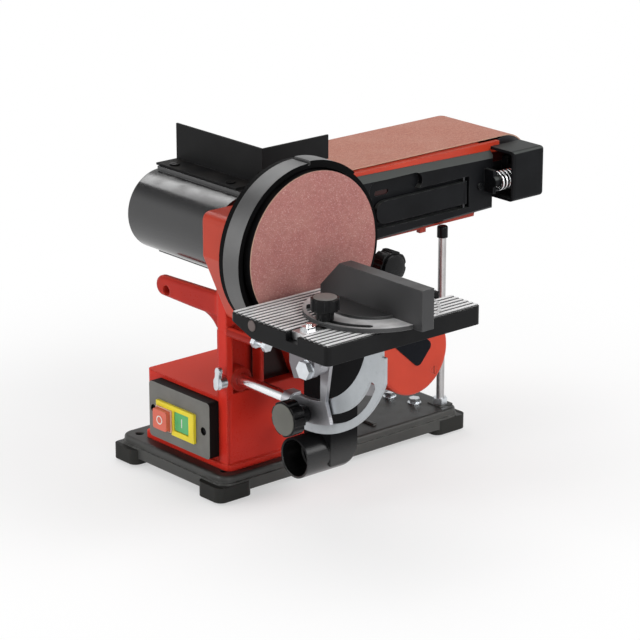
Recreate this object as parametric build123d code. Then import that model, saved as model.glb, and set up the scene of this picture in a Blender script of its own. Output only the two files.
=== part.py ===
from build123d import *
from math import cos, hypot, pi, radians, sin, sqrt
import os

# A bench-top belt and disc sander. Lengths are millimetres, angles degrees.
# It is laid out from the middle of the sanding disc's face: X runs along the sanding belt,
# Y along the spindle and away from the disc, Z is up.
# At the end each piece is shifted so that the origin is on the bench under the middle of the base.

# Fits and gaps
RUN_FIT = 0.05
SLIDE_GAP = 0.2
AIR = 0.5
ROOT = 1
END_GAP = 1

# Fasteners
DRIVER_SLOT = 1
DRIVER_SLOT_DEPTH = 1
PANEL_SCREW_R = 2
PANEL_SCREW_HEAD_R = 3.6
PANEL_SCREW_HEAD = 2
STAND_BOLT_R = 3
STAND_BOLT_HEX = 10
STAND_BOLT_HEAD = 4.5
STAND_WASHER_R = 7
HEX = 13
HEX_HEIGHT = 5.5
WASHER = 1.5

# Sanding disc and its housing
DISC_R = 75
PAPER = 1.3
DISC_PLATE_BACK = 10
DISC_HUB_R = 20
DISC_HUB_END = 31
RIM_GAP = 4
RIM_WALL = 5
RIM_DROP = 2.5
RIM_FRONT = 7
RIM_LIP_BACK = 29
RIM_BACK = 36
RIM_REAR_WALL = 4
RIM_PLATE = 3
RIM_STEP = 2
RIM_STEP_ANGLES = (50, 89)
RIM_NOTCH_ANGLE = 2
RIM_HUB_GAP = 7
OUTLET_LEFT = 24
OUTLET_RIGHT = 62
OUTLET_MARGIN = 4
OUTLET_LIP = 1

# Spindle, its bearings and the drive housing
SPINDLE_R = 8.5
BEARING_R = 20
BEARING_WIDTH = 12
BEARING_WALL = 3.5
BEARING_STEP = 4
SNOUT_LIP = 1
SPINDLE_HOLE_GAP = 3
SPINDLE_PROUD = 8
SPINDLE_TAP_R = 3
DISC_FACE_WALL = 4
COVER_FRONT = 38
HOUSING_FRONT = 50
HOUSING_BACK = 88
HOUSING_WALL = 5
HEAD_HALF_WIDTH = 60
HEAD_TOP = 29
HEAD_SHOULDER = -13
HEAD_FOOT_HALF_WIDTH = 32
HEAD_FOOT = -78
HEAD_ROUND = 8
SNOUT_R = 24
SNOUT_END = 102
HOUSING_SCREW_R = 2
HOUSING_SCREW_REACH = 16
HOUSING_BOSS_R = 6
ARM_SCREW_ALONG = 110
ARM_SCREW_ACROSS = 33
END_SCREW_OUT = 34
HEAD_SCREW_SPOT = (48, 14)
FOOT_SCREW_X = -27
FOOT_SCREW_UP = 12
COVER_ROUND = 3

# Drive: motor beside and below the spindle, joined by a toothed belt
MOTOR_X = 163
MOTOR_Z = -146
DRIVE_R = 43
SPINDLE_PULLEY_R = 18
DRIVE_RATIO = 2
PULLEY_FRONT = 58
PULLEY_WIDTH = 16
PULLEY_FLANGE = 4
PULLEY_FLANGE_WIDTH = 2
DRIVE_BELT = 2.5
MOTOR_R = 52
MOTOR_END = 200
MOTOR_SHAFT_R = 6
SHAFT_HOLE_GAP = 4
SHAFT_LEAD = 4
MOTOR_FLANGE = 4
MOTOR_FLANGE_THICK = 6
MOTOR_CAP = 20
MOTOR_RIBS = 20
MOTOR_RIB_THICK = 3
MOTOR_RIB_ROOT = 2
MOTOR_RIB_PROUD = 3
MOTOR_RIB_SHORT = 10
MOTOR_CAP_PROUD = 2
MOTOR_CAP_WALL = 4
MOTOR_CAP_ROUND = 6
MOTOR_VENTS = 10
MOTOR_VENT_SPAN = (16, 40)
MOTOR_VENT_WIDTH = 4
LABEL_WIDTH = 28
LABEL_LENGTH = 104
LABEL_OFFSET = 5
LABEL_THICK = 0.8
LABEL_END = 13
LABEL_ROUND = 6

# Belt arm, turning on the housing's snout
DRUM_R = 30
IDLER_X = 345
BELT_FRONT = 104
BELT_WIDTH = 100
BELT_THICK = 1.2
BELT_GAP = 0.3
ARM_RING_R = 36
WEB_FRONT = 97
WEB_BACK = 102
WEB_TOP = 29
WEB_BOTTOM = -44
WEB_END = IDLER_X - 15
WEB_START = 20
WEB_START_BOTTOM = -30
WEB_TOE = 46
WEB_HEEL = IDLER_X - 49
FORK_START = IDLER_X - 45
WEB_TAB = (222, 230)
WEB_TAB_DROP = 4
DRUM_GAP = 1.2
DRUM_PROUD = 1
ROLLER_WALL = 6
ROLLER_HUB = 5
PLATEN_LEAD = 4
PLATEN_PROUD = 2
ARM_RIB_SPOTS = (60, 140, 220)
ARM_RIB = 6
ARM_RIB_SHORT = 20
ARM_RIB_BOTTOM = 8
PLATEN_BOTTOM = 24
SLIDER_TRAVEL = 8
SLIDER_HALF_HEIGHT = 8
AXLE_R = 6
AXLE_HEAD = 3
SLIDER_FLANGE = 4
SLIDER_BACK = 3
SLIDER_FRONT = 9
ARM_COVER_FRONT = 90
ARM_COVER_LEFT = 96
ARM_COVER_RIGHT = IDLER_X - 28
ARM_COVER_TOP = (26.5, 21)
ARM_COVER_BOTTOM = (-43, -38)
ARM_COVER_CORNER = (12, 9)
ARM_COVER_BEVEL = 6.5
ARM_COVER_LOWER_BEVEL = 2.5
ARM_COVER_LEFT_SCREWS = [(29, 10), (29, -30)]
ARM_COVER_RIGHT_SCREWS = [(20, -11.5)]
WINDOW_SPOT = (183, 9)
WINDOW_SIZE = (70, 18)
WINDOW_SLIT_OUT = 14
WINDOW_SLIT_DOWN = 5
WINDOW_SLIT = (18, 5)
LEVER_PIVOT_X = IDLER_X - 69
LEVER_LEFT = LEVER_PIVOT_X - 119
LEVER_PIVOT_Y = 92
LEVER_TOP = -3
LEVER_BOTTOM = -26
LEVER_THICK = 5
LEVER_PIN_R = 1.5
LEVER_PIN_REACH = 8.5
LEVER_SET = 0.3
LEVER_EYE = 1
POCKET_END = 6
POCKET_SIDE = 4.5
POCKET_FLOOR = 1
END_BOX_LEFT = IDLER_X - 27
END_BOX_RIGHT = IDLER_X + 17.5
END_BOX_FRONT = 64
END_BOX_TOP = 25
END_BOX_BOTTOM = -27
END_BOX_WALL = 3
END_BOX_ROUND = 4
FORK_HALF_HEIGHT = 20
SPRING_Y = 79
SPRING_Z = -6
SPRING_MEAN_R = 9
SPRING_WIRE_R = 1.1
SPRING_TURNS = 5
SPRING_LEFT = IDLER_X - 38
SPRING_RIGHT = IDLER_X - 11
SPRING_SEAT = 4
SPRING_SEAT_EDGE = 3
SPRING_PILOT_GAP = 3
SPRING_PILOT = 13
SPRING_SEAT_PILOT = 4
SPRING_SEAT_FRONT = 77
KNOB_STEM_R = 3
KNOB_STEM_Y = WEB_FRONT - 5
TRACKING_R = 10
TRACKING_LENGTH = 12
TRACKING_LOBES = 10
TRACKING_BITE = 1.5

# Belt guard and work stop
GUARD_X = -9
GUARD_Z = -4
GUARD_R = 39.6
GUARD_WALL = 3
GUARD_CLEAR_R = 37
GUARD_END = 218
GUARD_COLLAR = 6
LIP_LEFT = -12
LIP_RIGHT = -6
LIP_BOTTOM = -48
LIP_FRONT = 106
LEDGE_END = 214
LEDGE_LEFT = -15
LEDGE_RIGHT = 5
LEDGE_TOP = 39.5
STOP_X = 12
STOP_SHEET = 2
STOP_TOP = 76.5
STOP_END = 218.6
STOP_LEG = 82
STOP_LEG_BOTTOM = 53
STOP_BELT_GAP = 1.5
STOP_NOTCH_END = 94.5
STOP_STRIP_INSET = 2
STOP_SCREW_SPOTS = (115, 200)
STOP_SCREW_X = -5
STOP_SCREW_R = 2.5
STOP_SCREW_HEAD = 1.5

# Arm lock and support
LOCK_X = 119
LOCK_Z = -46
LOCK_FACE = 23
LOCK_GRIP = 14
LOCK_R = 16.5
LOCK_SCREW_R = 4
LOCK_BOSS_R = 12
LOCK_HOLE_GAP = 1
LOCK_LOBES = 7
LOCK_BITE = 3
LOCK_EAR = 18
SUPPORT_X = 250
SUPPORT_Y = 94
SUPPORT_R = 4
SUPPORT_CAP_R = 5.5
SUPPORT_CAP = 12
SUPPORT_CAP_BORE = 6
SUPPORT_CAP_ROUND = 2
SUPPORT_NUT = 6

# Base and stand
BASE_LEFT = -50
BASE_RIGHT = 262
BASE_FRONT = 74
BASE_BACK = 242
BASE_TOP = -234
BASE_FLANGE = -241
BASE_BOTTOM = -252
FEET_TOP = -258
BENCH = -260.5
FOOT_R = 10
BASE_ROUND = 14
BASE_SKIN = 4
BASE_WALL = 9
PLATEAU_INSET = 1.5
PLATEAU_ROUND = 3
EAR_PROUD = (6, 1)
EAR_WIDTH = 42
EAR_LENGTH = 36
EAR_ROUND = 8
EAR_TOP = -243
EAR_BOLT_SEAT = -249
BENCH_BOLT_R = 3.5
BOLT_ACCESS_R = 4.5
BASE_RIB_SPOTS = (125, 155)
BASE_RIB = 4
BASE_RIB_HEIGHT = 2
BASE_RIB_INSET = 16
PAD_HALF = 9
PAD_HEIGHT = 1
STAND_LEFT = -32
STAND_RIGHT = 95
STAND_FRONT = 88
STAND_BACK = 215
STAND_TOP = -163
STAND_WALL = 4
STAND_ROUND = 5
STAND_FLARE = 3
STAND_FLARE_HEIGHT = 6
STAND_STRIP = 1.5
STAND_STRIP_WIDTH = 13
STAND_TAB = 19
STAND_TAB_WIDTH = 18
STAND_TAB_THICK = 5
STAND_TAB_SPOTS = (110, 190)
BASE_BOLT_SPOTS = [(231, 112), (224, 142)]
COLUMN_BOLT_SPOTS = [(-14, -66), (22, -66)]
BOSS_PROUD = 2
TABLE_STOP_R = 2.5
TABLE_STOP_DROP = 7.5
TABLE_STOP_BOSS_R = 4.5
TABLE_STOP_FRONT = 31
TABLE_STOP_NUT = 46
TABLE_STOP_NUT_THICK = 5
THUMB_R = 3
THUMB_Y = 92
THUMB_HEIGHT = 10
THUMB_HUB_R = 6.5
THUMB_WING = 4
THUMB_WING_UP = 12.5
THUMB_WING_DOWN = 2.5
THUMB_WING_WIDTH = 5.5
THUMB_WING_SIZE = (3.4, 4.2)
THUMB_TURN = 8
GLAND_X = 40
GLAND_Z = -200
GLAND_R = 7
GLAND_HEX = 20
GLAND_NUT = 5
GLAND_NECK_R = 8
GLAND_NECK = 11
GLAND_BORE_R = 3.5
COLUMN_BACK = 104
COLUMN_RIGHT = 40
COLUMN_TOP = -54
COLUMN_SHOULDER = -107
COLUMN_FOOT_RIGHT = 60
COLUMN_FRAME = 6
COLUMN_CORE_TOP = -88
COLUMN_RIB_X = 10
COLUMN_RIB = 4
LUG_THICK = 11
LUG_SET = 1.5
LUG_EDGE = 3.5
LUG_Y = 191
LUG_Z = -73
LUG_R = 10
LUG_TOP = -61
LUG_UNDER = -84
LUG_GUSSET = 30
LUG_HOLE_Y = 183.5
LUG_HOLE_Z = -76
LUG_HOLE_R = 5

# Switch
PANEL_PROUD = 12.5
PANEL_Y = (101.5, 195.5)
PANEL_Z = (-224, -167)
PANEL_ROUND = 4
PANEL_BACK = 2
PANEL_SCREW_SINK = 4
SWITCH_SCREW_SPOTS = [(111, -197), (189, -195)]
FRAME_PROUD = 3
FRAME_Y = (122.5, 181)
FRAME_Z = (-213, -183)
FRAME_NOTCH = (157, -209.5)
OFF_Y = (157, 178)
OFF_Z = (-209, -189)
ON_Y = (131, 153)
ON_Z = (-207, -188)
BUTTON_TRAVEL = 3
BUTTON_ROUND = 2
OFF_PROUD = 6.5
ON_SUNK = 1

# Tilting table
TABLE_LEFT = -102
TABLE_RIGHT = 82
TABLE_FRONT = -136
TABLE_BACK = -3
TABLE_TOP = -35
TABLE_EDGE = 18.7
TABLE_BACK_EDGE = 7.5
TABLE_BACK_SLOPE = 30
TABLE_PLUG = (-34, -41.5)
TABLE_PLUG_R = 5
TABLE_PLUG_PROUD = 0.8
TABLE_WALL = 5
TABLE_SKIN = 4
TOP_SHEET = 2
RIB_HEIGHT = 1.6
RIB_WIDTH = 3.4
RIB_PITCH = 6.3
SLOT_Y = -88
SLOT_WIDTH = 16
SLOT_DEPTH = 8.5
PIVOT_Y = -14
PIVOT_Z = -73
PIVOT_R = 4
LUG_ROUND = 9
LUG_SHY = 1
LUG_GAP = 1.5
LUG_LEFT_THICK = 7.1
LUG_RIGHT_THICK = 6
TABLE_ROUND = 5
CHANNEL_WALL = 3
CARRIER_WALL = 2
ROD_R = 6
ROD_X = -17
ROD_Z = -144
ROD_FRONT = 8
ROD_BACK = 114
POST_LEFT = -13.4
POST_RIGHT = -9.6
QUADRANT_LEFT = -8
QUADRANT_RIGHT = -5
QUADRANT_SLOT_R = 82
QUADRANT_SLOT_START = 204
QUADRANT_SLOT_STOP = 279
QUADRANT_MIDDLE = (4.3, -54.1)
QUADRANT_OUTER_R = 119.6
QUADRANT_INNER_R = 87
QUADRANT_START = 190
QUADRANT_STOP = 276
QUADRANT_FRONT = -106.5
QUADRANT_SHOULDER = -74.5
QUADRANT_ROOT = (-102.4, -78)
STUD_R = 4
STUD_ANGLE = 278
QUADRANT_KNOB_R = 17
QUADRANT_KNOB = 13
QUADRANT_KNOB_GAP = 2
QUADRANT_KNOB_LOBES = 9
QUADRANT_KNOB_BITE = 2.5
STUD_PROUD = 2
FLANGE_MIDDLE = (-2, -51.3)
FLANGE_OUTER_R = 111
FLANGE_INNER_R = 88
FLANGE_START = 251
FLANGE_STOP = 282
BRACKET_FRONT = -31
BRACKET_BACK = 19
POST_FOOT_BACK = -24
POST_FOOT = -136
EAR_BOLT_Y = -28
EAR_BOLT_Z = -100
EAR_BOLT_R = 4
BRACKET_EAR_LEFT = -31.5
BRACKET_EAR_THICK = 6
BRACKET_EAR_R = 9
BRACKET_EAR_BACK = -1.5
BRACKET_EAR_TOP = -84
BRACKET_EAR_TIP = (-8, -114)
EAR_HEX = 16
EAR_WASHER_R = 9

# Dust hood
HOOD_FRONT = -2.6
HOOD_LEFT = 18
HOOD_RIGHT = 90
HOOD_TOP = -60
HOOD_SHOULDER = -96
HOOD_NECK = -150
HOOD_WALL = 1.6
PORT_Y = 18
PORT_Z = -206
PORT_R = 20
PORT_SOCKET_R = 18
PORT_SOCKET = 24
PORT_THROAT_R = 16.5
PORT_MOUTH = -9
PORT_END = 51.5
HOOD_ROUND = 16

# Mitre gauge
MITRE_X = -8
MITRE_PIN_R = 4
MITRE_PIN = 8
MITRE_CLAMP_R = 3
BAR_SUNK = 0.6
BAR_LEFT = -95
BAR_RIGHT = 60
MITRE_R = 62
MITRE_THICK = 6.5
MITRE_FLANGE = 4
MITRE_HUB_R = 36
MITRE_SLOT_R = 55
MITRE_SWIVEL = 45
MITRE_SLOT_SPARE = 1
FENCE_LEFT = -14
FENCE_RIGHT = 0
FENCE_FRONT = -161
FENCE_BACK = -51
FENCE_TOP = 3
FENCE_BACK_FOOT = -25
FENCE_BACK_SIDE = 11.5
MITRE_KNOB_R = 13
MITRE_KNOB_TOP = -10
MITRE_KNOB_GRIP = 11
MITRE_KNOB_NECK_R = 8
MITRE_KNOB_LOBES = 6
MITRE_KNOB_BITE = 3
MITRE_KNOB_END = 2
POINTER_TIP = 8
POINTER_LENGTH = 17
POINTER_HALF = 5
POINTER_THICK = 2
POINTER_RIVET_OUT = 11
POINTER_RIVET_R = 3
POINTER_RIVET = 2.5


def outline(*points):
    """Flat face with straight sides through the points."""
    turns = zip(points, points[1:] + points[:1])
    area = sum(x0 * y1 - x1 * y0 for (x0, y0), (x1, y1) in turns)
    return Polygon(*(points if area > 0 else reversed(points)), align=None)


def block(x0, x1, y0, y1, z0, z1):
    """Box between two corners."""
    return Pos((x0 + x1) / 2, (y0 + y1) / 2, (z0 + z1) / 2) * Box(x1 - x0, y1 - y0, z1 - z0)


def plate_x(face, x0, x1):
    """Face drawn in Y and Z, thickened from x0 to x1."""
    return extrude(Plane.YZ.offset(x0) * face, amount=x1 - x0, dir=(1, 0, 0))


def plate_y(face, y0, y1):
    """Face drawn in X and Z, thickened from y0 to y1."""
    return extrude(Plane.XZ.offset(-y0) * face, amount=y1 - y0, dir=(0, 1, 0))


def plate_z(face, z0, z1):
    """Face drawn in X and Y, thickened from z0 to z1."""
    return extrude(Plane.XY.offset(z0) * face, amount=z1 - z0, dir=(0, 0, 1))


def rod_x(r, x0, x1, y=0, z=0):
    return plate_x(Pos(y, z) * Circle(r), x0, x1)


def rod_y(r, y0, y1, x=0, z=0):
    return plate_y(Pos(x, z) * Circle(r), y0, y1)


def rod_z(r, z0, z1, x=0, y=0):
    return plate_z(Pos(x, y) * Circle(r), z0, z1)


def ring_y(r_out, r_in, y0, y1, x=0, z=0):
    return plate_y(Pos(x, z) * (Circle(r_out) - Circle(r_in)), y0, y1)


def hexagon(across):
    """Hexagon by the distance across its flats."""
    return RegularPolygon(across / sqrt(3), 6)


def lobes(r, count, bite):
    """Round knob outline with finger hollows around it."""
    face = Circle(r)
    for spot in PolarLocations(r + bite / 2, count):
        face -= spot * Circle(bite)
    return face


def round_along(shape, axis, r):
    """Round the edges that run along an axis."""
    return fillet(shape.edges().filter_by(axis), r)


def sector(r, start, stop):
    """Pie slice of a circle between two angles, drawn about the origin."""
    middle = (start + stop) / 2
    reach = r * 2
    corners = [(reach * cos(radians(a)), reach * sin(radians(a))) for a in (start, middle, stop)]
    return Circle(r) & outline((0, 0), *corners)


# Drive line directions, from the spindle to the motor and across it
DRIVE_LENGTH = hypot(MOTOR_X, MOTOR_Z)
ALONG = (MOTOR_X / DRIVE_LENGTH, MOTOR_Z / DRIVE_LENGTH)
ACROSS = (-ALONG[1], ALONG[0])


def drive_spot(along, across=0):
    """Point in X and Z beside the line from the spindle to the motor."""
    return (along * ALONG[0] + across * ACROSS[0], along * ALONG[1] + across * ACROSS[1])


def drive_location(along, across=0):
    """Place in X and Z whose own first axis follows the drive line."""
    turn = Vector(1, 0, 0).get_signed_angle(Vector(ALONG[0], ALONG[1], 0), Vector(0, 0, 1))
    return Pos(*drive_spot(along, across)) * Rot(0, 0, turn)


def drive_outline(margin):
    """Outline shared by the drive housing and its cover, drawn in by a margin."""
    arm = drive_location(DRIVE_LENGTH / 2) * SlotCenterToCenter(DRIVE_LENGTH, 2 * (DRIVE_R - margin))
    half = HEAD_HALF_WIDTH - margin
    foot = HEAD_FOOT_HALF_WIDTH - margin
    top = HEAD_TOP - margin
    head = outline((-half, HEAD_SHOULDER), (-foot, HEAD_FOOT + margin), (foot, HEAD_FOOT + margin),
                   (half, HEAD_SHOULDER), (half, top), (-half, top))
    corners = head.vertices().sort_by(Axis.Y)[-2:]
    below_top = outline((-2 * MOTOR_X, top), (-2 * MOTOR_X, 2 * MOTOR_Z), (2 * MOTOR_X, 2 * MOTOR_Z),
                        (2 * MOTOR_X, top))
    return fillet(corners, HEAD_ROUND - margin) + (arm & below_top)


HOUSING_SCREW_SPOTS = [
    drive_spot(ARM_SCREW_ALONG, ARM_SCREW_ACROSS), drive_spot(ARM_SCREW_ALONG, -ARM_SCREW_ACROSS),
    drive_spot(DRIVE_LENGTH + END_SCREW_OUT), HEAD_SCREW_SPOT, (-HEAD_SCREW_SPOT[0], HEAD_SCREW_SPOT[1]),
    (FOOT_SCREW_X, HEAD_FOOT + FOOT_SCREW_UP),
]


def drive_housing():
    body = plate_y(drive_outline(0), HOUSING_FRONT, HOUSING_BACK)
    body -= plate_y(drive_outline(HOUSING_WALL), HOUSING_FRONT, HOUSING_BACK - HOUSING_WALL)
    for x, z in HOUSING_SCREW_SPOTS:
        body += rod_y(HOUSING_BOSS_R, HOUSING_FRONT, HOUSING_BACK, x, z)
    body += rod_y(SNOUT_R, HOUSING_BACK - HOUSING_WALL, SNOUT_END)
    body += rod_y(LOCK_BOSS_R, HOUSING_BACK - LOCK_EAR, HOUSING_BACK, LOCK_X, LOCK_Z)
    body -= rod_y(LOCK_SCREW_R + LOCK_HOLE_GAP, HOUSING_FRONT, HOUSING_BACK - LOCK_EAR, LOCK_X, LOCK_Z)
    body -= rod_y(BEARING_R, SNOUT_END - SNOUT_LIP - BEARING_WIDTH, SNOUT_END)
    body -= rod_y(SPINDLE_R + SPINDLE_HOLE_GAP, HOUSING_FRONT, SNOUT_END)
    body -= rod_y(MOTOR_SHAFT_R + SHAFT_HOLE_GAP, HOUSING_FRONT, HOUSING_BACK, MOTOR_X, MOTOR_Z)
    body -= rod_y(LOCK_SCREW_R + RUN_FIT, HOUSING_FRONT, HOUSING_BACK, LOCK_X, LOCK_Z)
    for x, z in HOUSING_SCREW_SPOTS:
        body -= rod_y(HOUSING_SCREW_R, HOUSING_FRONT, HOUSING_BACK - HOUSING_WALL, x, z)
    return body


def drive_cover():
    body = plate_y(drive_outline(0), COVER_FRONT, HOUSING_FRONT)
    front = body.faces().sort_by(Axis.Y)[0]
    body = fillet(front.edges(), COVER_ROUND)
    body -= plate_y(drive_outline(HOUSING_WALL), COVER_FRONT + HOUSING_WALL, HOUSING_FRONT)
    for x, z in HOUSING_SCREW_SPOTS:
        body += rod_y(HOUSING_BOSS_R, COVER_FRONT + ROOT, HOUSING_FRONT, x, z)
    body += rod_y(BEARING_R + BEARING_WALL, COVER_FRONT, HOUSING_FRONT + BEARING_STEP)
    body += rod_y(BEARING_R + BEARING_WALL, RIM_BACK, COVER_FRONT)
    body -= rod_y(BEARING_R, HOUSING_FRONT + BEARING_STEP - BEARING_WIDTH, HOUSING_FRONT + BEARING_STEP)
    body -= rod_y(SPINDLE_R + SPINDLE_HOLE_GAP, RIM_BACK, HOUSING_FRONT)
    body -= rod_y(LOCK_SCREW_R + LOCK_HOLE_GAP, COVER_FRONT, HOUSING_FRONT, LOCK_X, LOCK_Z)
    for x, z in HOUSING_SCREW_SPOTS:
        body -= rod_y(HOUSING_SCREW_R, COVER_FRONT, HOUSING_FRONT, x, z)
        body -= rod_y(2 * HOUSING_SCREW_R, COVER_FRONT, COVER_FRONT + HOUSING_SCREW_R, x, z)
    return body


def housing_screws():
    screws = []
    for x, z in HOUSING_SCREW_SPOTS:
        screw = rod_y(2 * HOUSING_SCREW_R, COVER_FRONT, COVER_FRONT + HOUSING_SCREW_R, x, z)
        end = HOUSING_FRONT + HOUSING_SCREW_REACH
        screw += rod_y(HOUSING_SCREW_R, COVER_FRONT + HOUSING_SCREW_R, end, x, z)
        screw -= block(x - DRIVER_SLOT / 2, x + DRIVER_SLOT / 2, COVER_FRONT, COVER_FRONT + DRIVER_SLOT_DEPTH,
                       z - 2 * HOUSING_SCREW_R, z + 2 * HOUSING_SCREW_R)
        screws.append(screw)
    return Compound(children=screws)


def label_plate():
    """Blank plate stuck on the cover, rounded where it follows the cover's end."""
    middle = DRIVE_LENGTH + LABEL_END - LABEL_LENGTH / 2
    face = drive_location(middle, LABEL_OFFSET) * RectangleRounded(LABEL_LENGTH, LABEL_WIDTH, LABEL_ROUND)
    return plate_y(face, COVER_FRONT - LABEL_THICK, COVER_FRONT)


def pulley(r, x=0, z=0):
    """Belt pulley with a flange on each side."""
    body = rod_y(r, PULLEY_FRONT, PULLEY_FRONT + PULLEY_WIDTH, x, z)
    for y in (PULLEY_FRONT - PULLEY_FLANGE_WIDTH, PULLEY_FRONT + PULLEY_WIDTH):
        body += rod_y(r + PULLEY_FLANGE, y, y + PULLEY_FLANGE_WIDTH, x, z)
    return body


def spindle_pulley():
    return pulley(SPINDLE_PULLEY_R) - rod_y(SPINDLE_R, COVER_FRONT, HOUSING_BACK)


def motor_pulley():
    body = pulley(SPINDLE_PULLEY_R / DRIVE_RATIO, MOTOR_X, MOTOR_Z)
    return body - rod_y(MOTOR_SHAFT_R, COVER_FRONT, HOUSING_BACK, MOTOR_X, MOTOR_Z)


def drive_belt():
    """Belt loop round both pulleys, clear of their faces."""
    def loop(gap):
        small = Pos(MOTOR_X, MOTOR_Z) * Circle(SPINDLE_PULLEY_R / DRIVE_RATIO + gap)
        return make_hull(Circle(SPINDLE_PULLEY_R + gap).edges() + small.edges())
    face = loop(AIR + DRIVE_BELT) - loop(AIR)
    return plate_y(face, PULLEY_FRONT + AIR, PULLEY_FRONT + PULLEY_WIDTH - AIR)


def motor_shaft():
    return rod_y(MOTOR_SHAFT_R, PULLEY_FRONT - SHAFT_LEAD, MOTOR_END, MOTOR_X, MOTOR_Z)


def motor_housing():
    body = rod_y(MOTOR_R, HOUSING_BACK, MOTOR_END, MOTOR_X, MOTOR_Z)
    flange_back = HOUSING_BACK + MOTOR_FLANGE_THICK
    body += rod_y(MOTOR_R + MOTOR_FLANGE, HOUSING_BACK, flange_back, MOTOR_X, MOTOR_Z)
    rib = block(MOTOR_R - MOTOR_RIB_ROOT, MOTOR_R + MOTOR_RIB_PROUD, flange_back, MOTOR_END - MOTOR_RIB_SHORT,
                -MOTOR_RIB_THICK / 2, MOTOR_RIB_THICK / 2)
    for step in range(MOTOR_RIBS):
        body += Pos(MOTOR_X, 0, MOTOR_Z) * Rot(0, step * 360 / MOTOR_RIBS, 0) * rib
    return body - rod_y(MOTOR_SHAFT_R + AIR, HOUSING_BACK, MOTOR_END, MOTOR_X, MOTOR_Z)


def motor_end_cap():
    cap_r = MOTOR_R + MOTOR_CAP_PROUD
    cap_end = MOTOR_END + MOTOR_CAP
    body = rod_y(cap_r, MOTOR_END, cap_end, MOTOR_X, MOTOR_Z)
    body = fillet(body.faces().sort_by(Axis.Y)[-1].edges(), MOTOR_CAP_ROUND)
    body -= rod_y(cap_r - MOTOR_CAP_WALL, MOTOR_END, cap_end - MOTOR_CAP_WALL, MOTOR_X, MOTOR_Z)
    vent = block(*MOTOR_VENT_SPAN, cap_end - MOTOR_CAP_WALL - ROOT, cap_end,
                 -MOTOR_VENT_WIDTH / 2, MOTOR_VENT_WIDTH / 2)
    for step in range(MOTOR_VENTS):
        body -= Pos(MOTOR_X, 0, MOTOR_Z) * Rot(0, step * 360 / MOTOR_VENTS, 0) * vent
    return body


def spindle():
    end = BELT_BACK + SPINDLE_PROUD
    return rod_y(SPINDLE_R, PAPER + DISC_FACE_WALL, end) - rod_y(SPINDLE_TAP_R, BELT_BACK, end)


def spindle_bearings():
    inner = SPINDLE_R + RUN_FIT
    ends = (HOUSING_FRONT + BEARING_STEP, SNOUT_END - SNOUT_LIP)
    return Compound(children=[ring_y(BEARING_R, inner, end - BEARING_WIDTH, end) for end in ends])


def disc_plate():
    body = rod_y(DISC_R, PAPER, DISC_PLATE_BACK)
    body += rod_y(DISC_HUB_R, DISC_PLATE_BACK, DISC_HUB_END)
    return body - rod_y(SPINDLE_R, PAPER + DISC_FACE_WALL, DISC_HUB_END)


def sanding_disc():
    return rod_y(DISC_R, 0, PAPER)


RIM_INNER = DISC_R + RIM_GAP
RIM_OUTER = RIM_INNER + RIM_WALL


def hood_outline(margin):
    """Funnel seen from the front, drawn in by a margin, open at the top."""
    left = HOOD_LEFT + margin
    right = HOOD_RIGHT - margin
    neck_right = PORT_END - margin
    bottom = PORT_Z - PORT_R / 2
    face = outline((left, HOOD_TOP), (left, bottom), (neck_right, bottom), (neck_right, HOOD_NECK),
                   (right, HOOD_SHOULDER), (right, HOOD_TOP))
    corner = face.vertices().sort_by(Axis.Y)[:2].sort_by(Axis.X)[-1]
    return fillet(corner, HOOD_ROUND - margin)


def disc_housing():
    """Open ring set a little below the disc, stepped in behind, with an outlet down into the hood."""
    rear_r = RIM_INNER + RIM_REAR_WALL
    body = ring_y(RIM_OUTER, RIM_INNER, RIM_FRONT, RIM_LIP_BACK)
    body += ring_y(rear_r, RIM_INNER, RIM_LIP_BACK, RIM_BACK)
    body += ring_y(rear_r, DISC_HUB_R + RIM_HUB_GAP, RIM_BACK - RIM_PLATE, RIM_BACK)
    start, stop = RIM_STEP_ANGLES
    step = sector(RIM_OUTER + RIM_STEP, start, stop) - Circle(RIM_OUTER - RIM_STEP)
    body += plate_y(step, RIM_FRONT, RIM_LIP_BACK)
    notch = sector(RIM_OUTER + RIM_STEP, stop, stop + RIM_NOTCH_ANGLE) - Circle(RIM_OUTER - RIM_STEP)
    body -= plate_y(notch, RIM_FRONT, RIM_LIP_BACK)
    outlet = outline((OUTLET_LEFT, -RIM_OUTER), (OUTLET_RIGHT, -RIM_OUTER), (OUTLET_RIGHT, 0),
                     (OUTLET_LEFT, 0))
    back = RIM_BACK - RIM_PLATE - OUTLET_MARGIN
    body -= plate_y(outlet - Circle(RIM_INNER - OUTLET_LIP), RIM_FRONT + OUTLET_MARGIN, back)
    return Pos(0, 0, -RIM_DROP) * body


def dust_hood():
    body = plate_y(hood_outline(0), HOOD_FRONT, RIM_BACK)
    body += rod_x(PORT_R, PORT_MOUTH, PORT_END - PORT_R / 2, PORT_Y, PORT_Z)
    body += Pos(PORT_END - PORT_R / 2, PORT_Y, PORT_Z) * Sphere(PORT_R)
    body -= plate_y(hood_outline(2 * HOOD_WALL), HOOD_FRONT + HOOD_WALL, RIM_BACK - HOOD_WALL)
    body -= rod_x(PORT_SOCKET_R, PORT_MOUTH, PORT_MOUTH + PORT_SOCKET, PORT_Y, PORT_Z)
    body -= rod_x(PORT_THROAT_R, PORT_MOUTH, PORT_END - PORT_R / 2, PORT_Y, PORT_Z)
    body -= rod_y(RIM_INNER, HOOD_FRONT + HOOD_WALL, RIM_BACK, 0, -RIM_DROP)
    return body - rod_y(RIM_OUTER, RIM_FRONT, RIM_BACK, 0, -RIM_DROP)


BELT_BACK = BELT_FRONT + BELT_WIDTH
DRUM_FRONT = WEB_BACK + DRUM_GAP
DRUM_BACK = BELT_BACK + DRUM_PROUD


def drum():
    body = rod_y(DRUM_R, DRUM_FRONT, DRUM_BACK)
    return body - rod_y(SPINDLE_R, DRUM_FRONT, DRUM_BACK)


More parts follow.
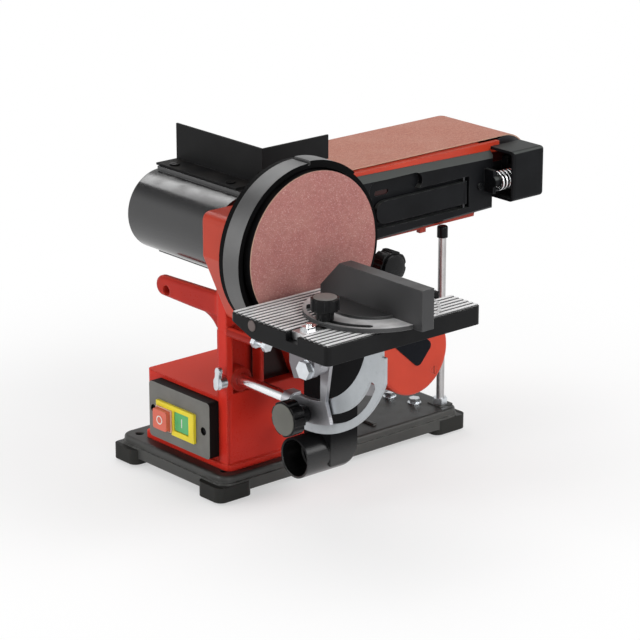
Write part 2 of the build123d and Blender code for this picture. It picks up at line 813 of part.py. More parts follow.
def idler_roller():
    body = rod_y(DRUM_R, DRUM_FRONT + AIR, DRUM_BACK, IDLER_X)
    body -= rod_y(DRUM_R - ROLLER_WALL, DRUM_BACK - ROLLER_WALL, DRUM_BACK, IDLER_X)
    body += rod_y(AXLE_R + ROLLER_HUB, DRUM_BACK - ROLLER_WALL, DRUM_BACK, IDLER_X)
    return body - rod_y(AXLE_R + RUN_FIT, DRUM_FRONT, DRUM_BACK, IDLER_X)


def idler_axle():
    body = rod_y(AXLE_R, ARM_COVER_FRONT + END_GAP, DRUM_BACK + AIR, IDLER_X)
    return body + rod_y(AXLE_R + AXLE_HEAD, DRUM_BACK + AIR, DRUM_BACK + AXLE_HEAD, IDLER_X)


def sanding_belt():
    """Abrasive loop round drum and idler, a hair clear of both."""
    def loop(gap):
        return Pos(IDLER_X / 2, 0) * SlotCenterToCenter(IDLER_X, 2 * (DRUM_R + gap))
    return plate_y(loop(BELT_GAP + BELT_THICK) - loop(BELT_GAP), BELT_FRONT, BELT_BACK)


SLIDER_LEFT = LEVER_PIVOT_X + SLIDER_TRAVEL + END_GAP
PRONG_END = END_BOX_RIGHT - END_BOX_WALL - END_GAP


def arm_frame():
    """Casting that swings on the snout: ring, web, platen under the belt and a fork for the idler."""
    fork = FORK_HALF_HEIGHT
    web = outline((WEB_START, WEB_TOP), (WEB_END, WEB_TOP), (WEB_END, fork), (PRONG_END, fork),
                  (PRONG_END, -fork), (FORK_START, -fork), (WEB_HEEL, WEB_BOTTOM), (WEB_TOE, WEB_BOTTOM),
                  (WEB_START, WEB_START_BOTTOM))
    body = plate_y(web, WEB_FRONT, WEB_BACK)
    body += rod_y(ARM_RING_R, HOUSING_BACK + AIR, WEB_BACK)
    belt_inside = DRUM_R - AIR
    platen_left = DRUM_R - PLATEN_LEAD
    platen_right = IDLER_X - SLIDER_TRAVEL - DRUM_R - END_GAP
    body += block(platen_left, platen_right, WEB_BACK, BELT_BACK + PLATEN_PROUD, PLATEN_BOTTOM, belt_inside)
    for x in ARM_RIB_SPOTS:
        body += block(x, x + ARM_RIB, WEB_BACK, BELT_BACK - ARM_RIB_SHORT, ARM_RIB_BOTTOM, PLATEN_BOTTOM)
    body += rod_y(LOCK_BOSS_R, WEB_FRONT, WEB_BACK, LOCK_X, LOCK_Z)
    body += block(*WEB_TAB, WEB_FRONT, WEB_BACK, WEB_BOTTOM - WEB_TAB_DROP, WEB_BOTTOM)
    body -= rod_y(SNOUT_R + RUN_FIT, HOUSING_BACK, WEB_BACK)
    slot = SLIDER_HALF_HEIGHT
    return body - block(LEVER_PIVOT_X, PRONG_END, WEB_FRONT, WEB_BACK, -slot, slot)


def idler_slider():
    """Block that carries the idler axle and slides in the arm's fork."""
    half = SLIDER_HALF_HEIGHT - SLIDE_GAP
    wide = SLIDER_HALF_HEIGHT + SLIDER_FLANGE
    right = PRONG_END - END_GAP
    front = WEB_FRONT - SLIDER_FRONT
    back = WEB_BACK + SLIDER_BACK
    body = block(SLIDER_LEFT, right, WEB_FRONT + SLIDE_GAP, WEB_BACK + SLIDE_GAP, -half, half)
    behind = IDLER_X - DRUM_R - SLIDER_FLANGE
    body += block(SLIDER_LEFT, behind, WEB_BACK + SLIDE_GAP, back, -wide, wide)
    body += block(SPRING_RIGHT, right, front, WEB_FRONT - SLIDE_GAP, -wide, wide)
    body += block(SPRING_RIGHT, right, WEB_FRONT - SLIDE_GAP, WEB_FRONT + SLIDE_GAP, -half, half)
    reach = SPRING_MEAN_R + SPRING_SEAT_EDGE
    body += block(SPRING_RIGHT, SPRING_RIGHT + SPRING_SEAT, SPRING_Y - reach, front,
                  SPRING_Z - reach, SPRING_Z + reach)
    pilot_left = SPRING_RIGHT - SPRING_PILOT
    body += rod_x(SPRING_MEAN_R - SPRING_PILOT_GAP, pilot_left, SPRING_RIGHT, SPRING_Y, SPRING_Z)
    return body - rod_y(AXLE_R, ARM_COVER_FRONT, back, IDLER_X)


def arm_cover():
    """Side cover of the arm, with a pocket for the lever and a seat for the spring."""
    corner_x, corner_z = ARM_COVER_CORNER
    face = outline((ARM_COVER_LEFT, ARM_COVER_TOP[0]), (ARM_COVER_RIGHT, ARM_COVER_TOP[1]),
                   (ARM_COVER_RIGHT, ARM_COVER_BOTTOM[1]), (ARM_COVER_LEFT + corner_x, ARM_COVER_BOTTOM[0]),
                   (ARM_COVER_LEFT, ARM_COVER_BOTTOM[0] + corner_z))
    body = plate_y(face, ARM_COVER_FRONT, WEB_FRONT)
    top_edge = body.faces().sort_by(Axis.Y)[0].edges().sort_by(Axis.Z)[-1]
    body = chamfer(top_edge, ARM_COVER_BEVEL)
    lower_edges = body.faces().sort_by(Axis.Y)[0].edges().sort_by(Axis.Z)[:-1]
    body = chamfer(lower_edges, ARM_COVER_LOWER_BEVEL)
    body -= rod_y(LOCK_SCREW_R + LOCK_HOLE_GAP, ARM_COVER_FRONT, WEB_FRONT, LOCK_X, LOCK_Z)
    window = Pos(*WINDOW_SPOT) * SlotOverall(*WINDOW_SIZE)
    body -= plate_y(window, ARM_COVER_FRONT, WEB_FRONT - POCKET_FLOOR)
    x, z = WINDOW_SPOT
    slit = Pos(x - WINDOW_SLIT_OUT, z - WINDOW_SLIT_DOWN) * SlotOverall(*WINDOW_SLIT)
    body -= plate_y(slit, ARM_COVER_FRONT, WEB_FRONT)
    body -= block(LEVER_LEFT - POCKET_END, LEVER_PIVOT_X + POCKET_END, ARM_COVER_FRONT,
                  WEB_FRONT - POCKET_FLOOR, LEVER_BOTTOM - POCKET_SIDE, LEVER_TOP + POCKET_SIDE)
    body -= lever_pin()
    reach = SPRING_MEAN_R + SPRING_SEAT_EDGE
    pilot = SPRING_MEAN_R - SPRING_PILOT_GAP
    seat_left = SPRING_LEFT - SPRING_SEAT
    body += block(seat_left, SPRING_LEFT, SPRING_SEAT_FRONT, ARM_COVER_FRONT + SPRING_SEAT_EDGE,
                  SPRING_Z - reach, SPRING_Z + reach)
    body += rod_x(pilot, seat_left, SPRING_LEFT + SPRING_SEAT_PILOT, SPRING_Y, SPRING_Z)
    for x, z in ARM_COVER_SCREW_SPOTS:
        body -= rod_y(PANEL_SCREW_R, ARM_COVER_FRONT, WEB_FRONT, x, z)
    return body


ARM_COVER_SCREW_SPOTS = [(ARM_COVER_LEFT + x, z) for x, z in ARM_COVER_LEFT_SCREWS]
ARM_COVER_SCREW_SPOTS += [(ARM_COVER_RIGHT - x, z) for x, z in ARM_COVER_RIGHT_SCREWS]


def arm_cover_screws():
    screws = []
    for x, z in ARM_COVER_SCREW_SPOTS:
        face = ARM_COVER_FRONT - PANEL_SCREW_HEAD
        screw = rod_y(PANEL_SCREW_HEAD_R, face, ARM_COVER_FRONT, x, z)
        screw += rod_y(PANEL_SCREW_R, ARM_COVER_FRONT, WEB_FRONT, x, z)
        screw -= block(x - PANEL_SCREW_HEAD_R, x + PANEL_SCREW_HEAD_R, face, face + DRIVER_SLOT_DEPTH,
                       z - DRIVER_SLOT / 2, z + DRIVER_SLOT / 2)
        screws.append(screw)
    return Compound(children=screws)


def tension_lever():
    """Flat lever lying in the cover's pocket, opening outwards on an upright pin."""
    middle = (LEVER_TOP + LEVER_BOTTOM) / 2
    half = (LEVER_TOP - LEVER_BOTTOM) / 2
    front = LEVER_PIVOT_Y - LEVER_THICK / 2 - LEVER_SET
    face = outline((LEVER_LEFT + half, LEVER_BOTTOM), (LEVER_PIVOT_X, LEVER_BOTTOM),
                   (LEVER_PIVOT_X, LEVER_TOP), (LEVER_LEFT + half, LEVER_TOP))
    face += Pos(LEVER_LEFT + half, middle) * Circle(half)
    body = plate_y(face, front, front + LEVER_THICK)
    eye = LEVER_THICK / 2 + LEVER_EYE
    body += rod_z(eye, LEVER_BOTTOM, LEVER_TOP, LEVER_PIVOT_X, LEVER_PIVOT_Y)
    return body - rod_z(LEVER_PIN_R + RUN_FIT, LEVER_BOTTOM, LEVER_TOP, LEVER_PIVOT_X, LEVER_PIVOT_Y)


def lever_pin():
    return rod_z(LEVER_PIN_R, LEVER_BOTTOM - LEVER_PIN_REACH, LEVER_TOP + LEVER_PIN_REACH, LEVER_PIVOT_X,
                 LEVER_PIVOT_Y)


def end_box():
    """Box over the idler's end, open towards the arm and behind."""
    wall = END_BOX_WALL
    body = block(END_BOX_LEFT, END_BOX_RIGHT, END_BOX_FRONT, WEB_FRONT, END_BOX_BOTTOM, END_BOX_TOP)
    outer = [edge for axis in (Axis.X, Axis.Z) for edge in body.edges().filter_by(axis)
             if edge.center().Y < WEB_FRONT - wall]
    outer += [edge for edge in body.edges().filter_by(Axis.Y) if edge.center().X > END_BOX_RIGHT - wall]
    body = fillet(outer, END_BOX_ROUND)
    body -= block(END_BOX_LEFT, END_BOX_RIGHT - wall, END_BOX_FRONT + wall, WEB_FRONT,
                  END_BOX_BOTTOM + wall, END_BOX_TOP - wall)
    return body - rod_x(KNOB_STEM_R + RUN_FIT, END_BOX_LEFT, END_BOX_RIGHT, KNOB_STEM_Y)


def tracking_knob():
    grip = Pos(KNOB_STEM_Y, 0) * lobes(TRACKING_R, TRACKING_LOBES, TRACKING_BITE)
    body = plate_x(grip, END_BOX_RIGHT + AIR, END_BOX_RIGHT + TRACKING_LENGTH)
    return body + rod_x(KNOB_STEM_R, PRONG_END - AIR, END_BOX_RIGHT + AIR, KNOB_STEM_Y)


def spring_path():
    """Helix along X as biarcs of half turns, with a short straight run at each end."""
    left = SPRING_LEFT + SPRING_WIRE_R + AIR
    pitch = (SPRING_RIGHT - SPRING_WIRE_R - AIR - left) / SPRING_TURNS
    rise = pitch / (2 * pi)

    def spot(angle):
        return Vector(left + rise * angle, SPRING_Y + SPRING_MEAN_R * cos(angle),
                      SPRING_Z + SPRING_MEAN_R * sin(angle))

    def heading(angle):
        return Vector(rise, -SPRING_MEAN_R * sin(angle), SPRING_MEAN_R * cos(angle)).normalized()

    straight = 2 * SPRING_WIRE_R
    edges = [Edge.make_line(spot(0) - heading(0) * straight, spot(0))]
    for step in range(4 * SPRING_TURNS):
        start, stop = step * pi / 2, (step + 1) * pi / 2
        p0, p1, t0, t1 = spot(start), spot(stop), heading(start), heading(stop)
        chord, bend = p1 - p0, 1 - t0.dot(t1)
        lean = chord.dot(t0 + t1)
        reach = (sqrt(lean * lean + 2 * bend * chord.dot(chord)) - lean) / (2 * bend)
        middle = (p0 + p1 + (t0 - t1) * reach) * 0.5
        across = (p1 - t1 * reach - p0 - t0 * reach).normalized()
        edges.append(Edge.make_tangent_arc(p0, t0, middle))
        edges.append(Edge.make_tangent_arc(middle, across, p1))
    end = 2 * pi * SPRING_TURNS
    edges.append(Edge.make_line(spot(end), spot(end) + heading(end) * straight))
    return Wire(edges)


def spring_gap(path, samples=400):
    """Least gap between turns of the spring, measured on points of its centre line."""
    points = [path.position_at(step / samples) for step in range(samples + 1)]
    apart = round(samples / SPRING_TURNS / 2)
    gaps = [(points[i] - points[j]).length for i in range(samples + 1) for j in range(i + apart, samples + 1)]
    return min(gaps) - 2 * SPRING_WIRE_R


def tension_spring():
    path = spring_path()
    print("least gap between spring turns:", round(spring_gap(path), 2), "mm")
    return sweep(Plane(origin=path @ 0, z_dir=path % 0) * Circle(SPRING_WIRE_R), path=path)


def belt_guard():
    """Half shell round the drum's free side, with a flat ledge for the work stop."""
    front = HOUSING_BACK + AIR
    reach = 2 * GUARD_R
    free_side = outline((0, -reach), (0, reach), (-reach, reach), (-reach, -reach))
    round_out = Pos(GUARD_X, GUARD_Z) * Circle(GUARD_R) & free_side
    inside = Pos(GUARD_X, GUARD_Z) * Circle(GUARD_R - GUARD_WALL) + Circle(GUARD_CLEAR_R)
    body = plate_y(round_out - inside, front, GUARD_END)
    body += plate_y(round_out - Circle(ARM_RING_R), front, front + GUARD_COLLAR)
    body += plate_y(round_out, GUARD_END - GUARD_WALL, GUARD_END)
    ledge = outline((LEDGE_LEFT, 0), (LEDGE_RIGHT, 0), (LEDGE_RIGHT, LEDGE_TOP), (LEDGE_LEFT, LEDGE_TOP))
    body += plate_y(ledge - Circle(GUARD_CLEAR_R), front, LEDGE_END)
    lip = outline((LIP_LEFT, LIP_BOTTOM), (LIP_RIGHT, LIP_BOTTOM), (LIP_RIGHT, 0), (LIP_LEFT, 0))
    body += plate_y(lip - inside, LIP_FRONT, GUARD_END)
    for y in STOP_SCREW_SPOTS:
        body -= rod_z(STOP_SCREW_R, 0, LEDGE_TOP, STOP_SCREW_X, y)
    return body


def work_stop():
    """Bent sheet: a leg across the belt, a leg along the arm and a strip screwed to the guard."""
    front = HOUSING_BACK + AIR
    right = STOP_X + STOP_SHEET
    above_belt = DRUM_R + BELT_GAP + BELT_THICK + STOP_BELT_GAP
    notch = WEB_BACK + END_GAP
    leg = outline((front, STOP_LEG_BOTTOM), (STOP_NOTCH_END, STOP_LEG_BOTTOM), (STOP_NOTCH_END, LEDGE_TOP),
                  (notch, LEDGE_TOP), (notch, above_belt), (STOP_END, above_belt), (STOP_END, STOP_TOP),
                  (front, STOP_TOP))
    body = plate_x(leg, STOP_X, right)
    strip_left = LEDGE_LEFT + STOP_STRIP_INSET
    body += block(strip_left, STOP_X, WEB_FRONT, STOP_END, LEDGE_TOP, LEDGE_TOP + STOP_SHEET)
    body += block(STOP_X, STOP_X + STOP_LEG, front, front + STOP_SHEET, STOP_LEG_BOTTOM, STOP_TOP)
    for y in STOP_SCREW_SPOTS:
        body -= rod_z(STOP_SCREW_R, LEDGE_TOP, LEDGE_TOP + STOP_SHEET, STOP_SCREW_X, y)
    return body


def stop_screws():
    screws = []
    for y in STOP_SCREW_SPOTS:
        screw = rod_z(STOP_SCREW_R, GUARD_CLEAR_R, LEDGE_TOP + STOP_SHEET, STOP_SCREW_X, y)
        head_top = LEDGE_TOP + STOP_SHEET + STOP_SCREW_HEAD
        screw += rod_z(2 * STOP_SCREW_R, LEDGE_TOP + STOP_SHEET, head_top, STOP_SCREW_X, y)
        screw -= block(STOP_SCREW_X - 2 * STOP_SCREW_R, STOP_SCREW_X + 2 * STOP_SCREW_R, y - DRIVER_SLOT / 2,
                       y + DRIVER_SLOT / 2, head_top - DRIVER_SLOT_DEPTH, head_top)
        screws.append(screw)
    return Compound(children=screws)


def arm_lock_knob():
    grip_end = LOCK_FACE + LOCK_GRIP
    grip = plate_y(Pos(LOCK_X, LOCK_Z) * lobes(LOCK_R, LOCK_LOBES, LOCK_BITE), LOCK_FACE, grip_end)
    return grip + rod_y(LOCK_SCREW_R, grip_end, WEB_FRONT - AIR, LOCK_X, LOCK_Z)


PAD_TOP = BASE_TOP + PAD_HEIGHT
CAP_TOP = WEB_BOTTOM - AIR


def support_rod():
    return rod_z(SUPPORT_R, PAD_TOP, CAP_TOP - SUPPORT_CAP + SUPPORT_CAP_BORE, SUPPORT_X, SUPPORT_Y)


def support_cap():
    body = rod_z(SUPPORT_CAP_R, CAP_TOP - SUPPORT_CAP, CAP_TOP, SUPPORT_X, SUPPORT_Y)
    body = fillet(body.faces().sort_by(Axis.Z)[-1].edges(), SUPPORT_CAP_ROUND)
    bore_top = CAP_TOP - SUPPORT_CAP + SUPPORT_CAP_BORE
    return body - rod_z(SUPPORT_R, CAP_TOP - SUPPORT_CAP, bore_top, SUPPORT_X, SUPPORT_Y)


def support_nut():
    nut = plate_z(Pos(SUPPORT_X, SUPPORT_Y) * hexagon(HEX), PAD_TOP, PAD_TOP + SUPPORT_NUT)
    return nut - rod_z(SUPPORT_R, PAD_TOP, PAD_TOP + SUPPORT_NUT, SUPPORT_X, SUPPORT_Y)


BASE_X = (BASE_LEFT + BASE_RIGHT) / 2
BASE_Y = (BASE_FRONT + BASE_BACK) / 2
BOLT_X = (BASE_RIGHT - BASE_LEFT - EAR_WIDTH) / 2 + EAR_PROUD[0]
BOLT_Y = (BASE_BACK - BASE_FRONT - EAR_LENGTH) / 2 + EAR_PROUD[1]
EAR_SPOTS = [(side_x, side_y) for side_x in (-1, 1) for side_y in (-1, 1)]


def rounded_slab(inset, r, z0, z1):
    """Rounded rectangle over the base's footprint, drawn in by an inset."""
    face = RectangleRounded(BASE_RIGHT - BASE_LEFT - 2 * inset, BASE_BACK - BASE_FRONT - 2 * inset, r)
    return plate_z(Pos(BASE_X, BASE_Y) * face, z0, z1)


def base_plate():
    """Hollow cast slab with an ear under each corner and a pad under the support rod."""
    body = rounded_slab(0, BASE_ROUND, BASE_BOTTOM, BASE_FLANGE)
    plateau = rounded_slab(PLATEAU_INSET, BASE_ROUND - PLATEAU_INSET, BASE_FLANGE, BASE_TOP)
    body += fillet(plateau.faces().sort_by(Axis.Z)[-1].edges(), PLATEAU_ROUND)
    body -= rounded_slab(BASE_WALL, BASE_ROUND - BASE_WALL / 2, BASE_BOTTOM, BASE_TOP - BASE_SKIN)
    for side_x, side_y in EAR_SPOTS:
        x = BASE_X + side_x * BOLT_X
        y = BASE_Y + side_y * BOLT_Y
        body += plate_z(Pos(x, y) * RectangleRounded(EAR_WIDTH, EAR_LENGTH, EAR_ROUND), FEET_TOP, EAR_TOP)
        body -= rod_z(BENCH_BOLT_R, FEET_TOP, EAR_BOLT_SEAT, x, y)
        body -= rod_z(BOLT_ACCESS_R, EAR_BOLT_SEAT, BASE_TOP, x, y)
    body += block(SUPPORT_X - PAD_HALF, SUPPORT_X + PAD_HALF, SUPPORT_Y - PAD_HALF, SUPPORT_Y + PAD_HALF,
                  BASE_TOP - ROOT, PAD_TOP)
    for x in BASE_RIB_SPOTS:
        body += block(x, x + BASE_RIB, BASE_FRONT + BASE_RIB_INSET, BASE_BACK - BASE_RIB_INSET,
                      BASE_TOP - ROOT, BASE_TOP + BASE_RIB_HEIGHT)
    for x, y in STAND_BOLT_SPOTS:
        body -= rod_z(STAND_BOLT_R, BASE_TOP - BASE_SKIN, PAD_TOP, x, y)
    return body


TAB_BOLT_X = STAND_RIGHT + STAND_FLARE + STAND_WASHER_R + AIR
STAND_BOLT_SPOTS = [*BASE_BOLT_SPOTS, *((TAB_BOLT_X, y) for y in STAND_TAB_SPOTS)]


def base_feet():
    feet = []
    for side_x, side_y in EAR_SPOTS:
        spot = Pos(BASE_X + side_x * BOLT_X, BASE_Y + side_y * BOLT_Y)
        feet.append(plate_z(spot * (Circle(FOOT_R) - Circle(BENCH_BOLT_R)), BENCH, FEET_TOP))
    return Compound(children=feet)


THUMB_SEAT = STAND_LEFT - STAND_STRIP
TABLE_STOP_X = (THUMB_SEAT + STAND_LEFT + COLUMN_FRAME) / 2
TABLE_STOP_Z = -RIM_OUTER - RIM_DROP - TABLE_STOP_DROP
TABLE_STOP_SEAT = TABLE_STOP_NUT + TABLE_STOP_NUT_THICK


def stand():
    """Box on the base, open column up to the drive housing and carrying lug."""
    wall = STAND_WALL
    flare = STAND_FLARE
    body = block(STAND_LEFT, STAND_RIGHT, STAND_FRONT, STAND_BACK, BASE_TOP, STAND_TOP)
    body = round_along(body, Axis.Z, STAND_ROUND)
    foot = block(STAND_LEFT - flare, STAND_RIGHT + flare, STAND_FRONT - flare, STAND_BACK + flare,
                 BASE_TOP, BASE_TOP + STAND_FLARE_HEIGHT)
    body += round_along(foot, Axis.Z, STAND_ROUND + flare)
    body -= block(STAND_LEFT + wall, STAND_RIGHT - wall, STAND_FRONT + wall, STAND_BACK - wall,
                  BASE_TOP, STAND_TOP - wall)
    column = outline((STAND_LEFT, STAND_TOP - ROOT), (COLUMN_FOOT_RIGHT, STAND_TOP - ROOT),
                     (COLUMN_RIGHT, COLUMN_SHOULDER), (COLUMN_RIGHT, COLUMN_TOP), (STAND_LEFT, COLUMN_TOP))
    frame = COLUMN_FRAME
    core_foot = STAND_TOP + frame
    core = outline((STAND_LEFT + frame, core_foot), (COLUMN_FOOT_RIGHT - frame, core_foot),
                   (COLUMN_RIGHT - frame, COLUMN_SHOULDER), (COLUMN_RIGHT - frame, COLUMN_CORE_TOP),
                   (STAND_LEFT + frame, COLUMN_CORE_TOP))
    body += plate_y(column, STAND_FRONT, COLUMN_BACK)
    body -= plate_y(core, STAND_FRONT, COLUMN_BACK - wall)
    body += block(COLUMN_RIB_X - COLUMN_RIB / 2, COLUMN_RIB_X + COLUMN_RIB / 2, STAND_FRONT, COLUMN_BACK,
                  STAND_TOP, COLUMN_CORE_TOP)
    body += rod_y(2 * ROD_R, STAND_FRONT - BOSS_PROUD, COLUMN_BACK + BOSS_PROUD, ROD_X, ROD_Z)
    body += carry_lug()
    body += rod_y(TABLE_STOP_BOSS_R, TABLE_STOP_SEAT, STAND_FRONT + ROOT, TABLE_STOP_X, TABLE_STOP_Z)
    body += block(THUMB_SEAT, STAND_LEFT + ROOT, STAND_FRONT, STAND_FRONT + STAND_STRIP_WIDTH,
                  BASE_TOP, COLUMN_TOP)
    for y in STAND_TAB_SPOTS:
        half = STAND_TAB_WIDTH / 2
        body += block(STAND_RIGHT - ROOT, STAND_RIGHT + STAND_TAB, y - half, y + half,
                      BASE_TOP, BASE_TOP + STAND_TAB_THICK)
        body -= rod_z(STAND_BOLT_R, BASE_TOP, BASE_TOP + STAND_TAB_THICK, TAB_BOLT_X, y)
    body -= rod_y(ROD_R + RUN_FIT, STAND_FRONT - BOSS_PROUD, COLUMN_BACK + BOSS_PROUD, ROD_X, ROD_Z)
    body -= rod_x(THUMB_R + RUN_FIT, THUMB_SEAT, ROD_X, THUMB_Y, ROD_Z)
    body -= rod_y(TABLE_STOP_R, TABLE_STOP_SEAT, COLUMN_BACK, TABLE_STOP_X, TABLE_STOP_Z)
    for x, z in COLUMN_BOLT_SPOTS:
        body -= rod_y(STAND_BOLT_R, STAND_FRONT, COLUMN_BACK, x, z)
    return body - rod_y(GLAND_R, STAND_BACK - wall, STAND_BACK, GLAND_X, GLAND_Z)


def carry_lug():
    """Carrying lug behind the column, rounded all along, with a hollow gusset under its root."""
    left = STAND_LEFT + LUG_SET
    right = STAND_LEFT + LUG_THICK
    root = COLUMN_BACK - STAND_WALL
    under = outline((root, LUG_UNDER), (root, LUG_TOP + ROOT), (LUG_Y, LUG_Z + LUG_R), (LUG_Y, LUG_Z - LUG_R),
                    ((root + LUG_Y) / 2, LUG_UNDER))
    arm = plate_x(under + Pos(LUG_Y, LUG_Z) * Circle(LUG_R), left, right)
    rims = arm.faces().filter_by(Axis.X).edges()
    arm = fillet([rim for rim in rims if rim.center().Y > root + ROOT], LUG_EDGE)
    gusset = outline((COLUMN_BACK, LUG_UNDER), (COLUMN_BACK + LUG_GUSSET, LUG_UNDER),
                     (COLUMN_BACK, LUG_UNDER - LUG_GUSSET))
    gusset -= Pos(COLUMN_BACK + LUG_GUSSET, LUG_UNDER - LUG_GUSSET) * Circle(LUG_GUSSET)
    arm += plate_x(gusset, left + LUG_EDGE, right - LUG_EDGE)
    return arm - rod_x(LUG_HOLE_R, left, right, LUG_HOLE_Y, LUG_HOLE_Z)


def stand_bolts():
    """Bolts on base and column, and the table's stop bolt with its lock nut."""
    bolts = []
    for x, y in STAND_BOLT_SPOTS:
        seat = BASE_TOP + STAND_TAB_THICK if x < STAND_RIGHT + STAND_TAB else BASE_TOP
        bolt = rod_z(STAND_BOLT_R, BASE_TOP - BASE_SKIN, seat, x, y)
        bolt += rod_z(STAND_WASHER_R, seat, seat + WASHER, x, y)
        head = Pos(x, y) * hexagon(STAND_BOLT_HEX)
        bolts.append(bolt + plate_z(head, seat + WASHER, seat + WASHER + STAND_BOLT_HEAD))
    for x, z in COLUMN_BOLT_SPOTS:
        bolt = rod_y(STAND_BOLT_R, STAND_FRONT, COLUMN_BACK, x, z)
        head = Pos(x, z) * hexagon(STAND_BOLT_HEX)
        bolts.append(bolt + plate_y(head, COLUMN_BACK, COLUMN_BACK + STAND_BOLT_HEAD))
    head = Pos(TABLE_STOP_X, TABLE_STOP_Z) * hexagon(STAND_BOLT_HEX)
    stop = rod_y(TABLE_STOP_R, TABLE_STOP_FRONT, COLUMN_BACK, TABLE_STOP_X, TABLE_STOP_Z)
    stop += plate_y(head, TABLE_STOP_FRONT, TABLE_STOP_FRONT + STAND_BOLT_HEAD)
    stop += plate_y(head, TABLE_STOP_NUT, TABLE_STOP_SEAT)
    return Compound(children=[*bolts, stop])


def cable_gland():
    body = rod_y(GLAND_R, STAND_BACK - STAND_WALL, STAND_BACK, GLAND_X, GLAND_Z)
    nut_end = STAND_BACK + GLAND_NUT
    body += plate_y(Pos(GLAND_X, GLAND_Z) * hexagon(GLAND_HEX), STAND_BACK, nut_end)
    body += rod_y(GLAND_NECK_R, nut_end, nut_end + GLAND_NECK, GLAND_X, GLAND_Z)
    return body - rod_y(GLAND_BORE_R, STAND_BACK - STAND_WALL, nut_end + GLAND_NECK, GLAND_X, GLAND_Z)


PANEL_FACE = STAND_LEFT - PANEL_PROUD
FRAME_FACE = PANEL_FACE - FRAME_PROUD
WELL_BACK = STAND_LEFT - 2 * PANEL_BACK
SCREW_SEAT = PANEL_FACE + PANEL_SCREW_SINK


def switch_panel():
    body = block(PANEL_FACE, STAND_LEFT, *PANEL_Y, *PANEL_Z)
    body = round_along(body, Axis.X, PANEL_ROUND)
    body -= block(PANEL_FACE, STAND_LEFT - PANEL_BACK, *FRAME_Y, *FRAME_Z)
    for y, z in SWITCH_SCREW_SPOTS:
        body -= rod_x(PANEL_SCREW_HEAD_R + AIR, PANEL_FACE, SCREW_SEAT, y, z)
        body -= rod_x(PANEL_SCREW_R, PANEL_FACE, STAND_LEFT, y, z)
    return body


def switch_screws():
    screws = []
    for y, z in SWITCH_SCREW_SPOTS:
        face = SCREW_SEAT - PANEL_SCREW_HEAD
        screw = rod_x(PANEL_SCREW_HEAD_R, face, SCREW_SEAT, y, z)
        screw += rod_x(PANEL_SCREW_R, SCREW_SEAT, STAND_LEFT, y, z)
        screw -= block(face, face + DRIVER_SLOT_DEPTH, y - PANEL_SCREW_HEAD_R, y + PANEL_SCREW_HEAD_R,
                       z - DRIVER_SLOT / 2, z + DRIVER_SLOT / 2)
        screws.append(screw)
    return Compound(children=screws)


def button_well(y_span, z_span):
    """Opening that a button slides in."""
    return block(FRAME_FACE, WELL_BACK, y_span[0] - AIR, y_span[1] + AIR, z_span[0] - AIR, z_span[1] + AIR)


def switch_frame():
    body = block(FRAME_FACE, STAND_LEFT - PANEL_BACK, *FRAME_Y, *FRAME_Z)
    body -= block(FRAME_FACE, PANEL_FACE, FRAME_NOTCH[0], FRAME_Y[1], FRAME_Z[0], FRAME_NOTCH[1])
    return body - button_well(OFF_Y, OFF_Z) - button_well(ON_Y, ON_Z)


BUTTON_BACK = WELL_BACK - BUTTON_TRAVEL - AIR


def button_off():
    body = block(FRAME_FACE - OFF_PROUD, BUTTON_BACK, *OFF_Y, *OFF_Z)
    return round_along(body, Axis.X, BUTTON_ROUND)


def button_on():
    body = block(FRAME_FACE + ON_SUNK, BUTTON_BACK, *ON_Y, *ON_Z)
    return round_along(body, Axis.X, BUTTON_ROUND)


def thumb_screw():
    stem_end = ROD_X - ROD_R - AIR
    outer = THUMB_SEAT - THUMB_HEIGHT
    body = rod_x(THUMB_R, outer, stem_end, THUMB_Y, ROD_Z)
    body += rod_x(THUMB_HUB_R, outer + THUMB_WING / 2, THUMB_SEAT - AIR, THUMB_Y, ROD_Z)
    middle = (THUMB_WING_UP - THUMB_WING_DOWN) / 2
    wing = Pos(0, middle) * Rectangle(THUMB_WING_WIDTH, THUMB_WING_UP + THUMB_WING_DOWN)
    for end in (THUMB_WING_UP, -THUMB_WING_DOWN):
        wing += Pos(0, end) * Ellipse(*THUMB_WING_SIZE)
    return body + plate_x(Pos(THUMB_Y, ROD_Z) * Rot(0, 0, THUMB_TURN) * wing, outer, outer + THUMB_WING)


def table_rod():
    return rod_y(ROD_R, ROD_FRONT, ROD_BACK, ROD_X, ROD_Z)


STUD_Y = PIVOT_Y + QUADRANT_SLOT_R * cos(radians(STUD_ANGLE))
STUD_Z = PIVOT_Z + QUADRANT_SLOT_R * sin(radians(STUD_ANGLE))
CARRIER_LEFT = ROD_X - ROD_R - CARRIER_WALL


